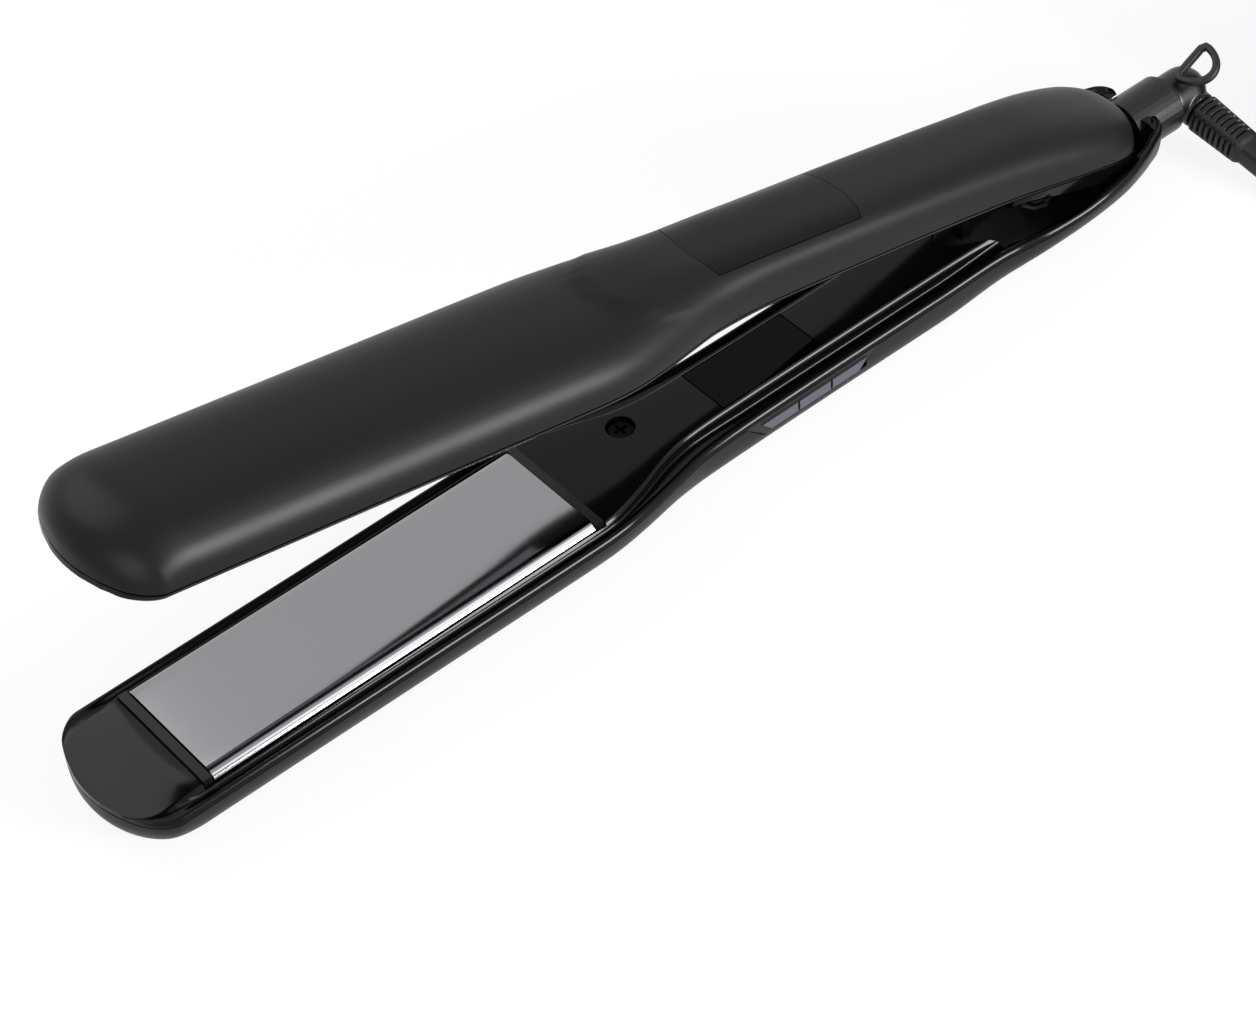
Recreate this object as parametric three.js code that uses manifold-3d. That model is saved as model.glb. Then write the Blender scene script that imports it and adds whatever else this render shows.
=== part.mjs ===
// Hair straightener, open as it lies on a table. Lengths are in millimetres.
// The arms are modelled closed: X runs from their tips to the cord, Z is zero where the plates meet,
// and each arm's own body lies below that plane. The upper arm is the same build, mirrored and turned.
import * as THREE from 'three';
import { mergeVertices } from 'three/addons/utils/BufferGeometryUtils.js';
import Module from 'manifold-3d';

const wasm = await Module();
wasm.setup();

// Arms
const armLength = 264.8;
const upperArmInset = 8.8;
const armHalfWidth = 17.2;
const armDepth = 13.6;
const shellWall = 1.8;
const lipWidth = 2;
const lipHeight = 1.3;
const skirtHeight = 0.9;
const troughDepth = 0.8;
const tipTrough = 0.1;
const deckDrop = 1;
const deckWall = 2.6;
const deckEdge = 0.7;
const restFlat = 0.35;
const tipCornerRadius = 4.5;
const tipSlopeLength = 12;
const tipSlopeDrop = 8.5;
const tailCornerRadius = 3;
const tipBow = 6.2;
const tipAdvance = 0.6;
const tailBow = 0.6;
const upperTailBow = 9;
const bowReach = 40;
const openAngle = THREE.MathUtils.degToRad(11.6);
const clearance = 0.3;
const overrun = 20;
const originShare = 0.4;

// Plates and what carries them
const plateStart = 17.8;
const plateLength = 88;
const plateFlatWidth = 25;
const plateEdgeRadius = 1.2;
const plateThickness = 2.6;
const plateGap = 0.2;
const barLength = 1.9;
const barHalfWidth = 13.4;
const barDrop = 0.5;
const carrierHalfWidth = 12.6;
const carrierThickness = 1.8;
const carrierWindow = 6;
const heaterLength = 72;
const heaterWidth = 16;
const heaterThickness = 1;
const padLength = 10;
const padWidth = 12;
const sensorRadius = 1.2;
const sensorLength = 5;
const fuseRadius = 1.7;
const fuseLength = 9;
const leadRadius = 0.9;
const leadAside = -2.4;

// Hinge
const hingeInset = 10.3;
const hingeDrop = 3.3;
const pinRadius = 1.2;
const bushWall = 0.6;
const bushLength = 3.4;
const barrelRadius = 3.4;
const barrelInner = 5;
const earThickness = 2.2;
const earBefore = 36;
const earNose = 8;
const earHalfWidth = 11.3;
const earReach = 8.2;
const bossThickness = 2;
const bossRadius = 3.1;
const cavityBefore = 47.7;
const cavityArch = 16.5;
const cavityWidth = 9.7;
const cavityBeyond = 7.7;
const lugBefore = 43;
const lugLength = 3;
const lugAside = -2;
const lugHalfWidth = 1.4;
const lugHeight = 9.4;
const finLength = 16;
const finHeight = 4;
const springBefore = 18.5;
const springRadius = 3.2;
const springWire = 0.45;
const springHeight = 10.8;
const springCurls = 6;

// Display, board and keys
const windowShare = 0.384;
const windowLength = 25.4;
const windowHalfWidth = 6;
const windowThickness = 1;
const windowLedge = 1.3;
const moduleHeight = 2.4;
const boardShare = 0.1297;
const boardBefore = 3.8;
const boardHalfWidth = 4.6;
const boardThickness = 1.2;
const boardLift = 0.5;
const keyPanelBeyond = 1.2;
const keyPanelTop = 35;
const keyPanelSlant = 5.1;
const keyPanelBackSlant = 9;
const keyPanelHeight = 4.4;
const keyPanelThickness = 0.8;
const keyPitch = 8.7;
const keySlant = 2.2;
const keyHeight = 2.3;
const keyProud = 0.35;
const keyTravel = 0.5;
const keyFlange = 0.7;
const keyMatThickness = 0.8;

// Screws
const screwHeadRadius = 2.4;
const screwShankRadius = 1.2;
const screwHeadHeight = 1.4;
const screwLength = 7;
const screwBossRadius = 2.7;
const recessRadius = 3;
const recessDepth = 2.4;
const recessShare = 0.2059;
const recessY = 3.6;

// Inlay on the upper shell
const inlayShare = 0.3579;
const inlayLength = 36.6;
const inlayHalfWidth = 8.5;
const inlayThickness = 0.8;
const inlayBow = 1.6;

// Thumb pad on the upper shell
const thumbPadBeyond = 5.7;
const thumbPadNose = 10;
const thumbPadLength = 25;
const thumbPadHalfWidth = 12;
const thumbPadHeight = 0.6;

// Swivel and hanging loop
const swivelDrop = 2.8;
const collarRadius = 6.4;
const collarBore = 5;
const collarInset = 4;
const collarLength = 13.2;
const socketInset = 6.4;
const socketLength = 6.2;
const contactRadius = 1.5;
const socketWall = 1;
const contactInset = 0.5;
const contactReach = 2;
const elbowBeyond = 5.6;
const elbowRadius = 5.2;
const droop = THREE.MathUtils.degToRad(9);
const branchDrop = 1.5;
const loopLength = 10.6;
const loopReach = 7;
const loopAside = -0.4;
const loopLimb = 1.7;
const loopThickness = 1.8;
const loopTilt = THREE.MathUtils.degToRad(27);

// Cord
const cordDiameter = 5.2;
const reliefLength = 20;
const reliefRoot = 7.2;
const reliefShoulder = 6.4;
const reliefTip = 5.6;
const reliefRibs = 8;
const ribGap = 0.75;
const ribDepth = 0.7;
const ribShare = 0.58;
const ribbedShare = 0.62;
const hankLayers = 4;
const turnsPerLayer = 2;
const foldRadius = 15.8;
const hankRun = 26.5;
const runShare = 1 / 6;
const waistDepth = 1.6;
const turnPitch = 5.9;
const hankBeyond = 56.5;
const tieWidth = 8;
const tieThickness = 0.7;
const plugLength = 30;
const plugWidth = 25;
const plugHeight = 16;
const bladeLength = 17;
const bladeWidth = 6.3;
const bladeThickness = 1.5;
const bladeSpacing = 12.7;

// Levels that follow from the sizes above
const restLevel = -(armDepth - restFlat);
const hankLift = tieThickness + clearance;
const cordRadius = cordDiameter / 2;
const keyGap = keyTravel + clearance;
const plateHalfWidth = plateFlatWidth / 2 + plateEdgeRadius;
const plateUnder = -(plateGap + plateThickness);
const heaterUnder = plateUnder - clearance - heaterThickness;
const carrierTop = heaterUnder - clearance;
const carrierUnder = carrierTop - carrierThickness;
const carrierStart = plateStart - clearance - barLength;
const carrierEnd = plateStart + plateLength + clearance + barLength;

// Places along the arms. The hinge and the swivel keep to the arm's tail, and what the handle holds
// is shared out between the plates and the cavity, so that it moves as either of them changes.
const upperArmLength = armLength - upperArmInset;
const hingeX = armLength - hingeInset;
const earStart = hingeX - earBefore;
const cavityStart = hingeX - cavityBefore;
const cavityEnd = hingeX + cavityBeyond;
const lugStart = hingeX - lugBefore;
const springX = hingeX - springBefore;
const plateEnd = plateStart + plateLength;
const recessX = plateEnd + recessShare * (cavityStart - plateEnd);
const handleRoom = cavityStart - recessX;
const windowStart = recessX + windowShare * handleRoom - windowLength / 2;
const boardStart = recessX + boardShare * handleRoom;
const boardLength = cavityStart - boardBefore - boardStart;
const keyPanelStart = windowStart + keyPanelBeyond;
const keyStart = keyPanelStart + keyPanelSlant;
const inlayStart = recessX + inlayShare * handleRoom - inlayLength / 2;
const thumbPadStart = plateEnd + thumbPadBeyond;
const collarStart = armLength - collarInset;
const collarEnd = collarStart + collarLength;
const socketStart = armLength - socketInset;
const elbowX = collarEnd + elbowBeyond;
const hankX = elbowX + hankBeyond;

// Each arm's shape at stations along it: along is a share of the arm's length, width of its half-width,
// depth and lip (the rim's drop below the plates' plane) of its depth, deck of its half-width.
// The power is the superellipse's, from a round section to a squarer one.
const lowerArmShares = [
  { along: 0, width: 0.988, depth: 1, lip: 0.132, power: 2.65, deck: 0.808 },
  { along: 0.23, width: 0.997, depth: 1, lip: 0.132, power: 2.65, deck: 0.808 },
  { along: 0.375, width: 1.006, depth: 1, lip: 0.132, power: 2.65, deck: 0.808 },
  { along: 0.415, width: 0.99, depth: 1, lip: 0.14, power: 2.65, deck: 0.79 },
  { along: 0.45, width: 0.907, depth: 1, lip: 0.155, power: 2.65, deck: 0.657 },
  { along: 0.482, width: 0.797, depth: 1, lip: 0.176, power: 2.8, deck: 0.488 },
  { along: 0.51, width: 0.71, depth: 1, lip: 0.191, power: 3.4, deck: 0.413 },
  { along: 0.565, width: 0.657, depth: 1, lip: 0.22, power: 4, deck: 0.39 },
  { along: 0.755, width: 0.651, depth: 1, lip: 0.22, power: 4, deck: 0.384 },
  { along: 0.815, width: 0.69, depth: 0.926, lip: 0.147, power: 3.2, deck: 0.4 },
  { along: 0.86, width: 0.84, depth: 0.809, lip: 0.044, power: 2.6, deck: 0.46 },
  { along: 0.9, width: 0.9, depth: 0.735, lip: -0.044, power: 2.4, deck: 0.46 },
  { along: 0.94, width: 0.86, depth: 0.72, lip: -0.125, power: 2.4, deck: 0.46 },
  { along: 0.966, width: 0.75, depth: 0.735, lip: -0.165, power: 2.5, deck: 0.46 },
  { along: 1, width: 0.57, depth: 0.745, lip: -0.18, power: 2.8, deck: 0.46 },
];
const upperArmShares = [
  { along: 0, width: 0.988, depth: 1, lip: 0.132, power: 2.65, deck: 0.808 },
  { along: 0.24, width: 0.997, depth: 1, lip: 0.132, power: 2.65, deck: 0.808 },
  { along: 0.389, width: 1.006, depth: 1.005, lip: 0.132, power: 2.65, deck: 0.808 },
  { along: 0.43, width: 0.99, depth: 1, lip: 0.14, power: 2.65, deck: 0.79 },
  { along: 0.466, width: 0.907, depth: 1.045, lip: 0.155, power: 2.65, deck: 0.657 },
  { along: 0.5, width: 0.797, depth: 1.072, lip: 0.176, power: 2.8, deck: 0.488 },
  { along: 0.529, width: 0.71, depth: 1.07, lip: 0.191, power: 3.4, deck: 0.413 },
  { along: 0.586, width: 0.657, depth: 1.06, lip: 0.22, power: 4, deck: 0.39 },
  { along: 0.7, width: 0.651, depth: 1.03, lip: 0.22, power: 4, deck: 0.384 },
  { along: 0.785, width: 0.655, depth: 1.005, lip: 0.215, power: 3.8, deck: 0.384 },
  { along: 0.845, width: 0.67, depth: 0.985, lip: 0.2, power: 3.4, deck: 0.4 },
  { along: 0.89, width: 0.7, depth: 0.96, lip: 0.176, power: 3.1, deck: 0.4 },
  { along: 0.934, width: 0.722, depth: 0.87, lip: 0.147, power: 3, deck: 0.4 },
  { along: 0.973, width: 0.72, depth: 0.73, lip: 0.118, power: 2.9, deck: 0.4 },
  { along: 1, width: 0.68, depth: 0.6, lip: 0.103, power: 2.8, deck: 0.4 },
];
const cornerStepShares = [0, 0.08, 0.32, 1];
const straightStepShares = [
  0.23, 0.375, 0.408, 0.43, 0.45, 0.47, 0.49, 0.51, 0.535, 0.565, 0.61, 0.68, 0.74, 0.775, 0.805,
  0.835, 0.865, 0.895, 0.925, 0.95, 0.97,
];
const sectionSteps = 14;
const innerSteps = 9;

const lowerArm = {
  shares: lowerArmShares,
  length: armLength,
  bow: tailBow,
};
const upperArm = {
  shares: upperArmShares,
  length: upperArmLength,
  bow: upperTailBow,
};

// Solids
function toSolid(geometry) {
  const bare = geometry.clone();
  bare.deleteAttribute('normal');
  bare.deleteAttribute('uv');
  const merged = mergeVertices(bare, 1e-4);
  const mesh = new wasm.Mesh({
    numProp: 3,
    vertProperties: new Float32Array(merged.attributes.position.array),
    triVerts: new Uint32Array(merged.index.array),
  });
  return new wasm.Manifold(mesh);
}

function toGeometry(solid) {
  const mesh = solid.getMesh();
  const geometry = new THREE.BufferGeometry();
  geometry.setAttribute('position', new THREE.BufferAttribute(mesh.vertProperties, mesh.numProp));
  geometry.setIndex(new THREE.BufferAttribute(mesh.triVerts, 1));
  geometry.computeVertexNormals();
  return geometry;
}

// A closed body through rings of equal point counts, each a list of points, that follow one another in X.
function loft(sections) {
  const flat = (ring) => ring.map((p) => new THREE.Vector2(p.y, p.z));
  const clockwise = THREE.ShapeUtils.area(flat(sections[0])) < 0;
  const rings = clockwise ? sections.map((ring) => ring.slice().reverse()) : sections;
  const count = rings[0].length;
  const positions = rings.flat().flatMap((p) => [p.x, p.y, p.z]);
  const indices = [];
  for (let i = 0; i < rings.length - 1; i += 1) {
    for (let j = 0; j < count; j += 1) {
      const a = i * count + j;
      const b = i * count + ((j + 1) % count);
      indices.push(a, b, a + count, b, b + count, a + count);
    }
  }
  const last = (rings.length - 1) * count;
  THREE.ShapeUtils.triangulateShape(flat(rings[0]), []).forEach(([a, b, c]) => {
    indices.push(a, c, b);
  });
  THREE.ShapeUtils.triangulateShape(flat(rings[rings.length - 1]), []).forEach(([a, b, c]) => {
    indices.push(last + a, last + b, last + c);
  });
  return indexedSolid(positions, indices);
}

function indexedSolid(positions, indices) {
  const geometry = new THREE.BufferGeometry();
  geometry.setAttribute('position', new THREE.Float32BufferAttribute(positions, 3));
  geometry.setIndex(indices);
  return toSolid(geometry);
}

// A block between two corners.
function block(x0, x1, y0, y1, z0, z1) {
  const geometry = new THREE.BoxGeometry(x1 - x0, y1 - y0, z1 - z0);
  geometry.translate((x0 + x1) / 2, (y0 + y1) / 2, (z0 + z1) / 2);
  return toSolid(geometry);
}

// A round bar from one point to another, narrowing to a second radius if one is given.
function bar(from, to, radius, endRadius = radius, sides = 24) {
  const along = new THREE.Vector3().subVectors(to, from);
  const geometry = new THREE.CylinderGeometry(endRadius, radius, along.length(), sides);
  const turn = new THREE.Quaternion().setFromUnitVectors(
    new THREE.Vector3(0, 1, 0),
    along.clone().normalize(),
  );
  geometry.applyQuaternion(turn);
  geometry.translate((from.x + to.x) / 2, (from.y + to.y) / 2, (from.z + to.z) / 2);
  return toSolid(geometry);
}

function at(x, y, z) {
  return new THREE.Vector3(x, y, z);
}

// A flat outline in X and Z, carried along Y from one side to the other.
function slabY(points, y0, y1) {
  const shape = new THREE.Shape(points.map(([x, z]) => new THREE.Vector2(x, z)));
  const geometry = new THREE.ExtrudeGeometry(shape, { depth: y1 - y0, bevelEnabled: false });
  geometry.rotateX(Math.PI / 2);
  geometry.translate(0, y1, 0);
  return toSolid(geometry);
}

// A round tube along a curve, with flat ends.
function tube(curve, radius, sides, steps) {
  const shape = new THREE.Shape();
  for (let i = 0; i < sides; i += 1) {
    const angle = (2 * Math.PI * i) / sides;
    const x = radius * Math.cos(angle);
    const y = radius * Math.sin(angle);
    if (i === 0) shape.moveTo(x, y);
    else shape.lineTo(x, y);
  }
  const geometry = new THREE.ExtrudeGeometry(shape, { steps, extrudePath: curve, bevelEnabled: false });
  return toSolid(geometry);
}

// The value of one column of an arm's table, on a smooth curve through the stations.
function shareAt(table, key, along) {
  let i = 0;
  while (i < table.length - 2 && along > table[i + 1].along) i += 1;
  const slope = (j) => {
    const a = table[Math.max(j - 1, 0)];
    const b = table[Math.min(j + 1, table.length - 1)];
    const mid = table[j];
    if ((mid[key] - a[key]) * (b[key] - mid[key]) <= 0) return 0;
    return (b[key] - a[key]) / (b.along - a.along);
  };
  const from = table[i];
  const to = table[i + 1];
  const span = to.along - from.along;
  const t = (along - from.along) / span;
  const h = t * t * (3 - 2 * t);
  const rise = from[key] * (1 - h) + to[key] * h;
  return rise + span * (slope(i) * t * (1 - t) ** 2 - slope(i + 1) * t * t * (1 - t));
}

// How much a rounded end takes off at a distance from it: a quarter ellipse of a length and a drop.
function endRounding(distance, length, drop = length) {
  if (distance >= length) return 0;
  const share = 1 - distance / length;
  return drop * (1 - Math.sqrt(1 - share ** 2));
}

// Half-width, depth, lip, trough and deck of an arm at a distance from its tip, with its ends rounded.
function sectionAt(arm, x) {
  const along = x / arm.length;
  const tip = endRounding(x, tipCornerRadius);
  const slope = endRounding(x, tipSlopeLength, tipSlopeDrop);
  const tail = endRounding(arm.length - x, tailCornerRadius);
  const lip = armDepth * shareAt(arm.shares, 'lip', along);
  const fromTip = Math.min(x / tipSlopeLength, 1) ** 2;
  const deckLevel = Math.min(deckDrop, lip + troughDepth / 2);
  return {
    width: armHalfWidth * shareAt(arm.shares, 'width', along) - tip - tail,
    depth: armDepth * shareAt(arm.shares, 'depth', along) - slope - tail,
    lip,
    power: shareAt(arm.shares, 'power', along),
    deck: armHalfWidth * shareAt(arm.shares, 'deck', along) - tip,
    deckDrop: lip + (deckLevel - lip) * fromTip,
    trough: lip + tipTrough + (troughDepth - tipTrough) * fromTip,
  };
}

// Both ends of an arm are arcs seen from above, so its sections bow as they near them.
function bowed(arm, x, y, z) {
  const side = (y / armHalfWidth) ** 2;
  const tip = (tipBow * side - tipAdvance) * Math.max(1 - x / bowReach, 0) ** 2;
  const tail = arm.bow * side * Math.max(1 - (arm.length - x) / bowReach, 0) ** 2;
  return at(x + tip - tail, y, z);
}

function stationsOf(arm) {
  const tip = [...cornerStepShares, tipSlopeLength / tipCornerRadius].map((share) => share * tipCornerRadius);
  const middle = straightStepShares.map((share) => share * arm.length);
  const tail = cornerStepShares.map((share) => arm.length - share * tailCornerRadius);
  return [...tip, ...middle, ...tail.reverse()];
}

// The half-width of a section, drawn in by a wall, at a level below the lip.
function halfWidthAt(section, level, wall) {
  const depth = section.depth - wall - section.lip;
  const down = Math.min(Math.max((-level - section.lip) / depth, 0), 1);
  return (section.width - wall) * (1 - down ** section.power) ** (1 / section.power);
}

// The outer or inner skin of an arm's shell, from its parting line down and round to the other side.
function skinRing(arm, x, wall, flat, count = sectionSteps) {
  const s = sectionAt(arm, x);
  const depth = s.depth - wall - s.lip;
  const top = Math.min((lipHeight + clearance / 2) / depth, 1);
  const start = Math.asin(top ** (s.power / 2));
  return steps(start, Math.PI - start, count).map((angle) => {
    const across = Math.cos(angle);
    const y = (s.width - wall) * Math.sign(across) * Math.abs(across) ** (2 / s.power);
    const z = -(s.lip + depth * Math.sin(angle) ** (2 / s.power));
    return bowed(arm, x, y, Math.max(z, flat));
  });
}

// The same skin closed well above the parting line, to cut out what is inside it.
function raisedSkinRing(arm, x, wall, flat, count = sectionSteps) {
  const ring = skinRing(arm, x, wall, flat, count);
  const raised = (p) => at(p.x, p.y, overrun);
  return [raised(ring[0]), ...ring, raised(ring[ring.length - 1])];
}

function armInside(arm, wall, flat, place = (p) => p) {
  const inside = stationsOf(arm).filter((x) => x > wall && x < arm.length - wall);
  const stations = [wall, ...inside, arm.length - wall];
  const ring = (x) => raisedSkinRing(arm, x, wall, flat + wall, innerSteps).map(place);
  return loft(stations.map(ring));
}

function armShell(arm, flat) {
  const outer = loft(stationsOf(arm).map((x) => skinRing(arm, x, 0, flat)));
  const floor = -(sectionAt(arm, recessX).depth - shellWall / 2);
  const side = arm === lowerArm ? recessY : -recessY;
  const bossTop = -(sectionAt(arm, recessX).lip + lipHeight + skirtHeight);
  const radius = screwBossRadius;
  const boss = bar(at(recessX, side, floor), at(recessX, side, bossTop), radius, radius, 16);
  const drilled = bar(
    at(recessX, side, floor + shellWall),
    at(recessX, side, overrun),
    screwShankRadius + clearance,
    screwShankRadius + clearance,
    16,
  );
  return outer.subtract(armInside(arm, shellWall, flat)).add(boss).subtract(drilled);
}

// The inner cover: a raised deck, a trough beside it and a rim that caps the shell's wall.
function linerRing(arm, x) {
  const s = sectionAt(arm, x);
  const parting = -(s.lip + lipHeight) + clearance / 2;
  const outer = halfWidthAt(s, parting, 0);
  const round = lipHeight / 3;
  const trough = -s.trough;
  const edgeDrop = Math.min(deckEdge, (s.trough - s.deckDrop) / 2);
  const inner = s.width - lipWidth;
  const deck = Math.min(s.deck, inner - 2 * deckEdge);
  const half = [
    [outer, parting],
    [s.width, -(s.lip + 2 * round)],
    [s.width - round, -s.lip],
    [s.width - lipWidth / 2, -s.lip],
    [inner, trough],
    [deck + deckEdge, trough],
    [deck + deckEdge / 3, -(s.deckDrop + edgeDrop)],
    [deck - deckEdge / 3, -s.deckDrop],
  ];
  const near = half.map(([y, z]) => bowed(arm, x, y, z));
  const far = half.map(([y, z]) => bowed(arm, x, -y, z)).reverse();
  return [...near, ...far];
}

// The step under the cover that drops inside the shell's wall.
function skirtRing(arm, x) {
  const s = sectionAt(arm, x);
  const parting = -(s.lip + lipHeight) + clearance / 2;
  const under = parting - skirtHeight;
  const half = halfWidthAt(s, under, shellWall) - 2 * clearance;
  const top = parting + clearance / 2;
  const corners = [
    [half, under],
    [half, top],
    [-half, top],
    [-half, under],
  ];
  return corners.map(([y, z]) => bowed(arm, x, y, z));
}

// A cutter with straight sides through an arm, its half-width given along it.
function planCutter(arm, stations, halfWidth, low, high) {
  return loft(
    stations.map((x) => {
      const y = halfWidth(x);
      return [at(x, y, low), at(x, y, high), at(x, -y, high), at(x, -y, low)];
    }),
  );
}

function steps(from, to, count) {
  return Array.from({ length: count + 1 }, (_, i) => from + ((to - from) * i) / count);
}

function armLiner(arm) {
  const lid = loft(stationsOf(arm).map((x) => linerRing(arm, x)));
  const edge = shellWall + 2 * clearance;
  const inside = stationsOf(arm).filter((x) => x > edge && x < arm.length - edge);
  const skirt = loft([edge, ...inside, arm.length - edge].map((x) => skirtRing(arm, x)));
  const opening = block(
    carrierStart - clearance,
    carrierEnd + clearance,
    -(plateHalfWidth + clearance),
    plateHalfWidth + clearance,
    -overrun,
    overrun,
  );
  const pocketStart = carrierEnd + 2 * shellWall;
  const pocket = planCutter(
    arm,
    steps(pocketStart, cavityStart - 2 * shellWall, 12),
    (x) => sectionAt(arm, x).deck - shellWall,
    -overrun,
    -(deckDrop + deckWall),
  );
  return lid.add(skirt).subtract(opening).subtract(pocket);
}

// Plates
function plateSolid() {
  const half = plateFlatWidth / 2;
  const top = -plateGap;
  const corner = steps(0, Math.PI / 2, 3).map((angle) => [
    half + plateEdgeRadius * Math.sin(angle),
    top - plateEdgeRadius * (1 - Math.cos(angle)),
  ]);
  const right = [...corner, [plateHalfWidth, plateUnder]];
  const left = right.map(([y, z]) => [-y, z]).reverse();
  const outline = [...right, ...left];
  const ends = [plateStart, plateStart + plateLength];
  return loft(ends.map((x) => outline.map(([y, z]) => at(x, y, z))));
}

function carrierSolid() {
  const tray = block(
    carrierStart,
    carrierEnd,
    -carrierHalfWidth,
    carrierHalfWidth,
    carrierUnder,
    carrierTop,
  );
  const barAt = (x) => block(x, x + barLength, -barHalfWidth, barHalfWidth, carrierUnder, -barDrop);
  const middle = plateStart + plateLength / 2;
  const windowCut = block(
    middle - heaterLength / 3,
    middle + heaterLength / 3,
    -carrierWindow,
    carrierWindow,
    -overrun,
    overrun,
  );
  return tray.add(barAt(carrierStart)).add(barAt(carrierEnd - barLength)).subtract(windowCut);
}

function heaterSolid() {
  const middle = plateStart + plateLength / 2;
  return block(
    middle - heaterLength / 2,
    middle + heaterLength / 2,
    -heaterWidth / 2,
    heaterWidth / 2,
    heaterUnder,
    plateUnder - clearance,
  );
}

function padSolid(x) {
  const floor = -(armDepth - restFlat) + shellWall + clearance;
  return block(
    x - padLength / 2,
    x + padLength / 2,
    -padWidth / 2,
    padWidth / 2,
    floor,
    carrierUnder - clearance,
  );
}

function sensorSolid() {
  const x = plateStart + plateLength / 2;
  const z = heaterUnder - clearance - sensorRadius;
  return bar(at(x - sensorLength / 2, 0, z), at(x + sensorLength / 2, 0, z), sensorRadius, sensorRadius, 12);
}

function fuseSolid() {
  const x = carrierEnd + fuseLength;
  const z = -(deckDrop + deckWall) - clearance - fuseRadius;
  return bar(at(x - fuseLength / 2, 0, z), at(x + fuseLength / 2, 0, z), fuseRadius, fuseRadius, 12);
}

// Hinge
function earRing(x, side) {
  const upper = sectionAt(upperArm, Math.min(x, hingeX - tailCornerRadius));
  const lower = sectionAt(lowerArm, x);
  const fore = Math.min((x - earStart) / earNose, 1);
  const nose = Math.sqrt(Math.max(1 - (1 - fore) ** 2, 0));
  const widest = Math.min(earHalfWidth, lower.width - lipWidth - 2 * clearance);
  const outer = widest - ((1 - nose) * earThickness) / 3;
  const root = -(upper.lip + lipHeight - clearance);
  const backStart = hingeX - 2 * barrelRadius;
  const behind = Math.min(Math.max((x - backStart) / (2 * barrelRadius), 0), 1);
  const top = root + (hingeDrop - barrelRadius - root) * behind;
  const low = nose * (earReach + (hingeDrop + barrelRadius - earReach) * behind);
  return [
    at(x, side * (outer - earThickness), top),
    at(x, side * outer, top),
    at(x, side * outer, low),
    at(x, side * (outer - earThickness), low),
  ];
}

// The inside of the lower shell as the upper arm meets it, closed and open.
function clearOfLowerShell(solid) {
  const closed = (p) => at(p.x, p.y, -p.z);
  const hinge = at(hingeX, 0, -hingeDrop);
  const yAxis = at(0, 1, 0);
  const open = (p) => closed(p.clone().sub(hinge).applyAxisAngle(yAxis, -openAngle).add(hinge));
  const wall = shellWall + clearance;
  return solid
    .intersect(armInside(lowerArm, wall, restLevel, closed))
    .intersect(armInside(lowerArm, wall, restLevel, open));
}

function earSolid(side) {
  const noseSteps = [0.02, 0.12, 0.35, 0.7, 1].map((share) => earStart + share * earNose);
  const body = steps(earStart + 1.5 * earNose, hingeX, 5);
  const plate = loft([...noseSteps, ...body].map((x) => earRing(x, side)));
  const barrel = bar(
    at(hingeX, side * barrelInner, hingeDrop),
    at(hingeX, side * (earRing(hingeX, 1)[1].y - clearance), hingeDrop),
    barrelRadius,
  );
  const hole = bar(
    at(hingeX, 0, hingeDrop),
    at(hingeX, side * overrun, hingeDrop),
    pinRadius + bushWall + 2 * clearance,
    pinRadius + bushWall + 2 * clearance,
    20,
  );
  return clearOfLowerShell(plate.add(barrel)).subtract(hole);
}

// How far out the hinge's bushes and pins can reach inside the lower shell.
const hingeReach = barrelInner + bushLength;

function bushSolid(side) {
  const outer = pinRadius + bushWall + clearance;
  const from = at(hingeX, side * barrelInner, hingeDrop);
  const to = at(hingeX, side * hingeReach, hingeDrop);
  const beyond = at(hingeX, side * overrun, hingeDrop);
  const bore = bar(at(hingeX, 0, hingeDrop), beyond, pinRadius + clearance, pinRadius + clearance, 16);
  return bar(from, to, outer, outer, 20).subtract(bore);
}

function pinSolid(side) {
  const inner = barrelInner - clearance - bossThickness;
  const head = at(hingeX, side * (inner - clearance), -hingeDrop);
  const headEnd = at(hingeX, side * (inner - clearance - bossThickness / 2), -hingeDrop);
  const tip = at(hingeX, side * hingeReach, -hingeDrop);
  const headRadius = pinRadius + bushWall;
  return bar(headEnd, tip, pinRadius, pinRadius, 16).add(bar(headEnd, head, headRadius, headRadius, 16));
}

function bossSolid(side) {
  const outer = side * (barrelInner - clearance);
  const inner = side * (barrelInner - clearance - bossThickness);
  const y0 = Math.min(outer, inner);
  const y1 = Math.max(outer, inner);
  const floor = -sectionAt(lowerArm, hingeX).depth + shellWall / 2;
  const post = block(hingeX - bossRadius, hingeX + bossRadius, y0, y1, floor, -hingeDrop);
  const eye = bar(at(hingeX, y0, -hingeDrop), at(hingeX, y1, -hingeDrop), bossRadius, bossRadius, 20);
  const bore = pinRadius + clearance;
  const hole = bar(at(hingeX, -overrun, -hingeDrop), at(hingeX, overrun, -hingeDrop), bore, bore, 16);
  return post.add(eye).subtract(hole);
}

class HelixCurve extends THREE.Curve {
  constructor(radius, height, turns, x, z) {
    super();
    Object.assign(this, { radius, height, turns, x, z });
  }

  getPoint(t) {
    const angle = 2 * Math.PI * this.turns * t;
    return at(
      this.x + this.radius * Math.cos(angle),
      this.radius * Math.sin(angle),
      this.z + this.height * t,
    );
  }
}

function springSolid() {
  const floor = -sectionAt(lowerArm, springX).depth + shellWall + springWire + clearance;
  const helix = new HelixCurve(springRadius, springHeight, springCurls, springX, floor);
  return tube(helix, springWire, 5, springCurls * 8);
}

// Covers
function collarCut() {
  return bar(
    at(collarStart - clearance, 0, -swivelDrop),
    at(armLength + overrun, 0, -swivelDrop),
    collarRadius + clearance,
    collarRadius + clearance,
    40,
  );
}

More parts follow.
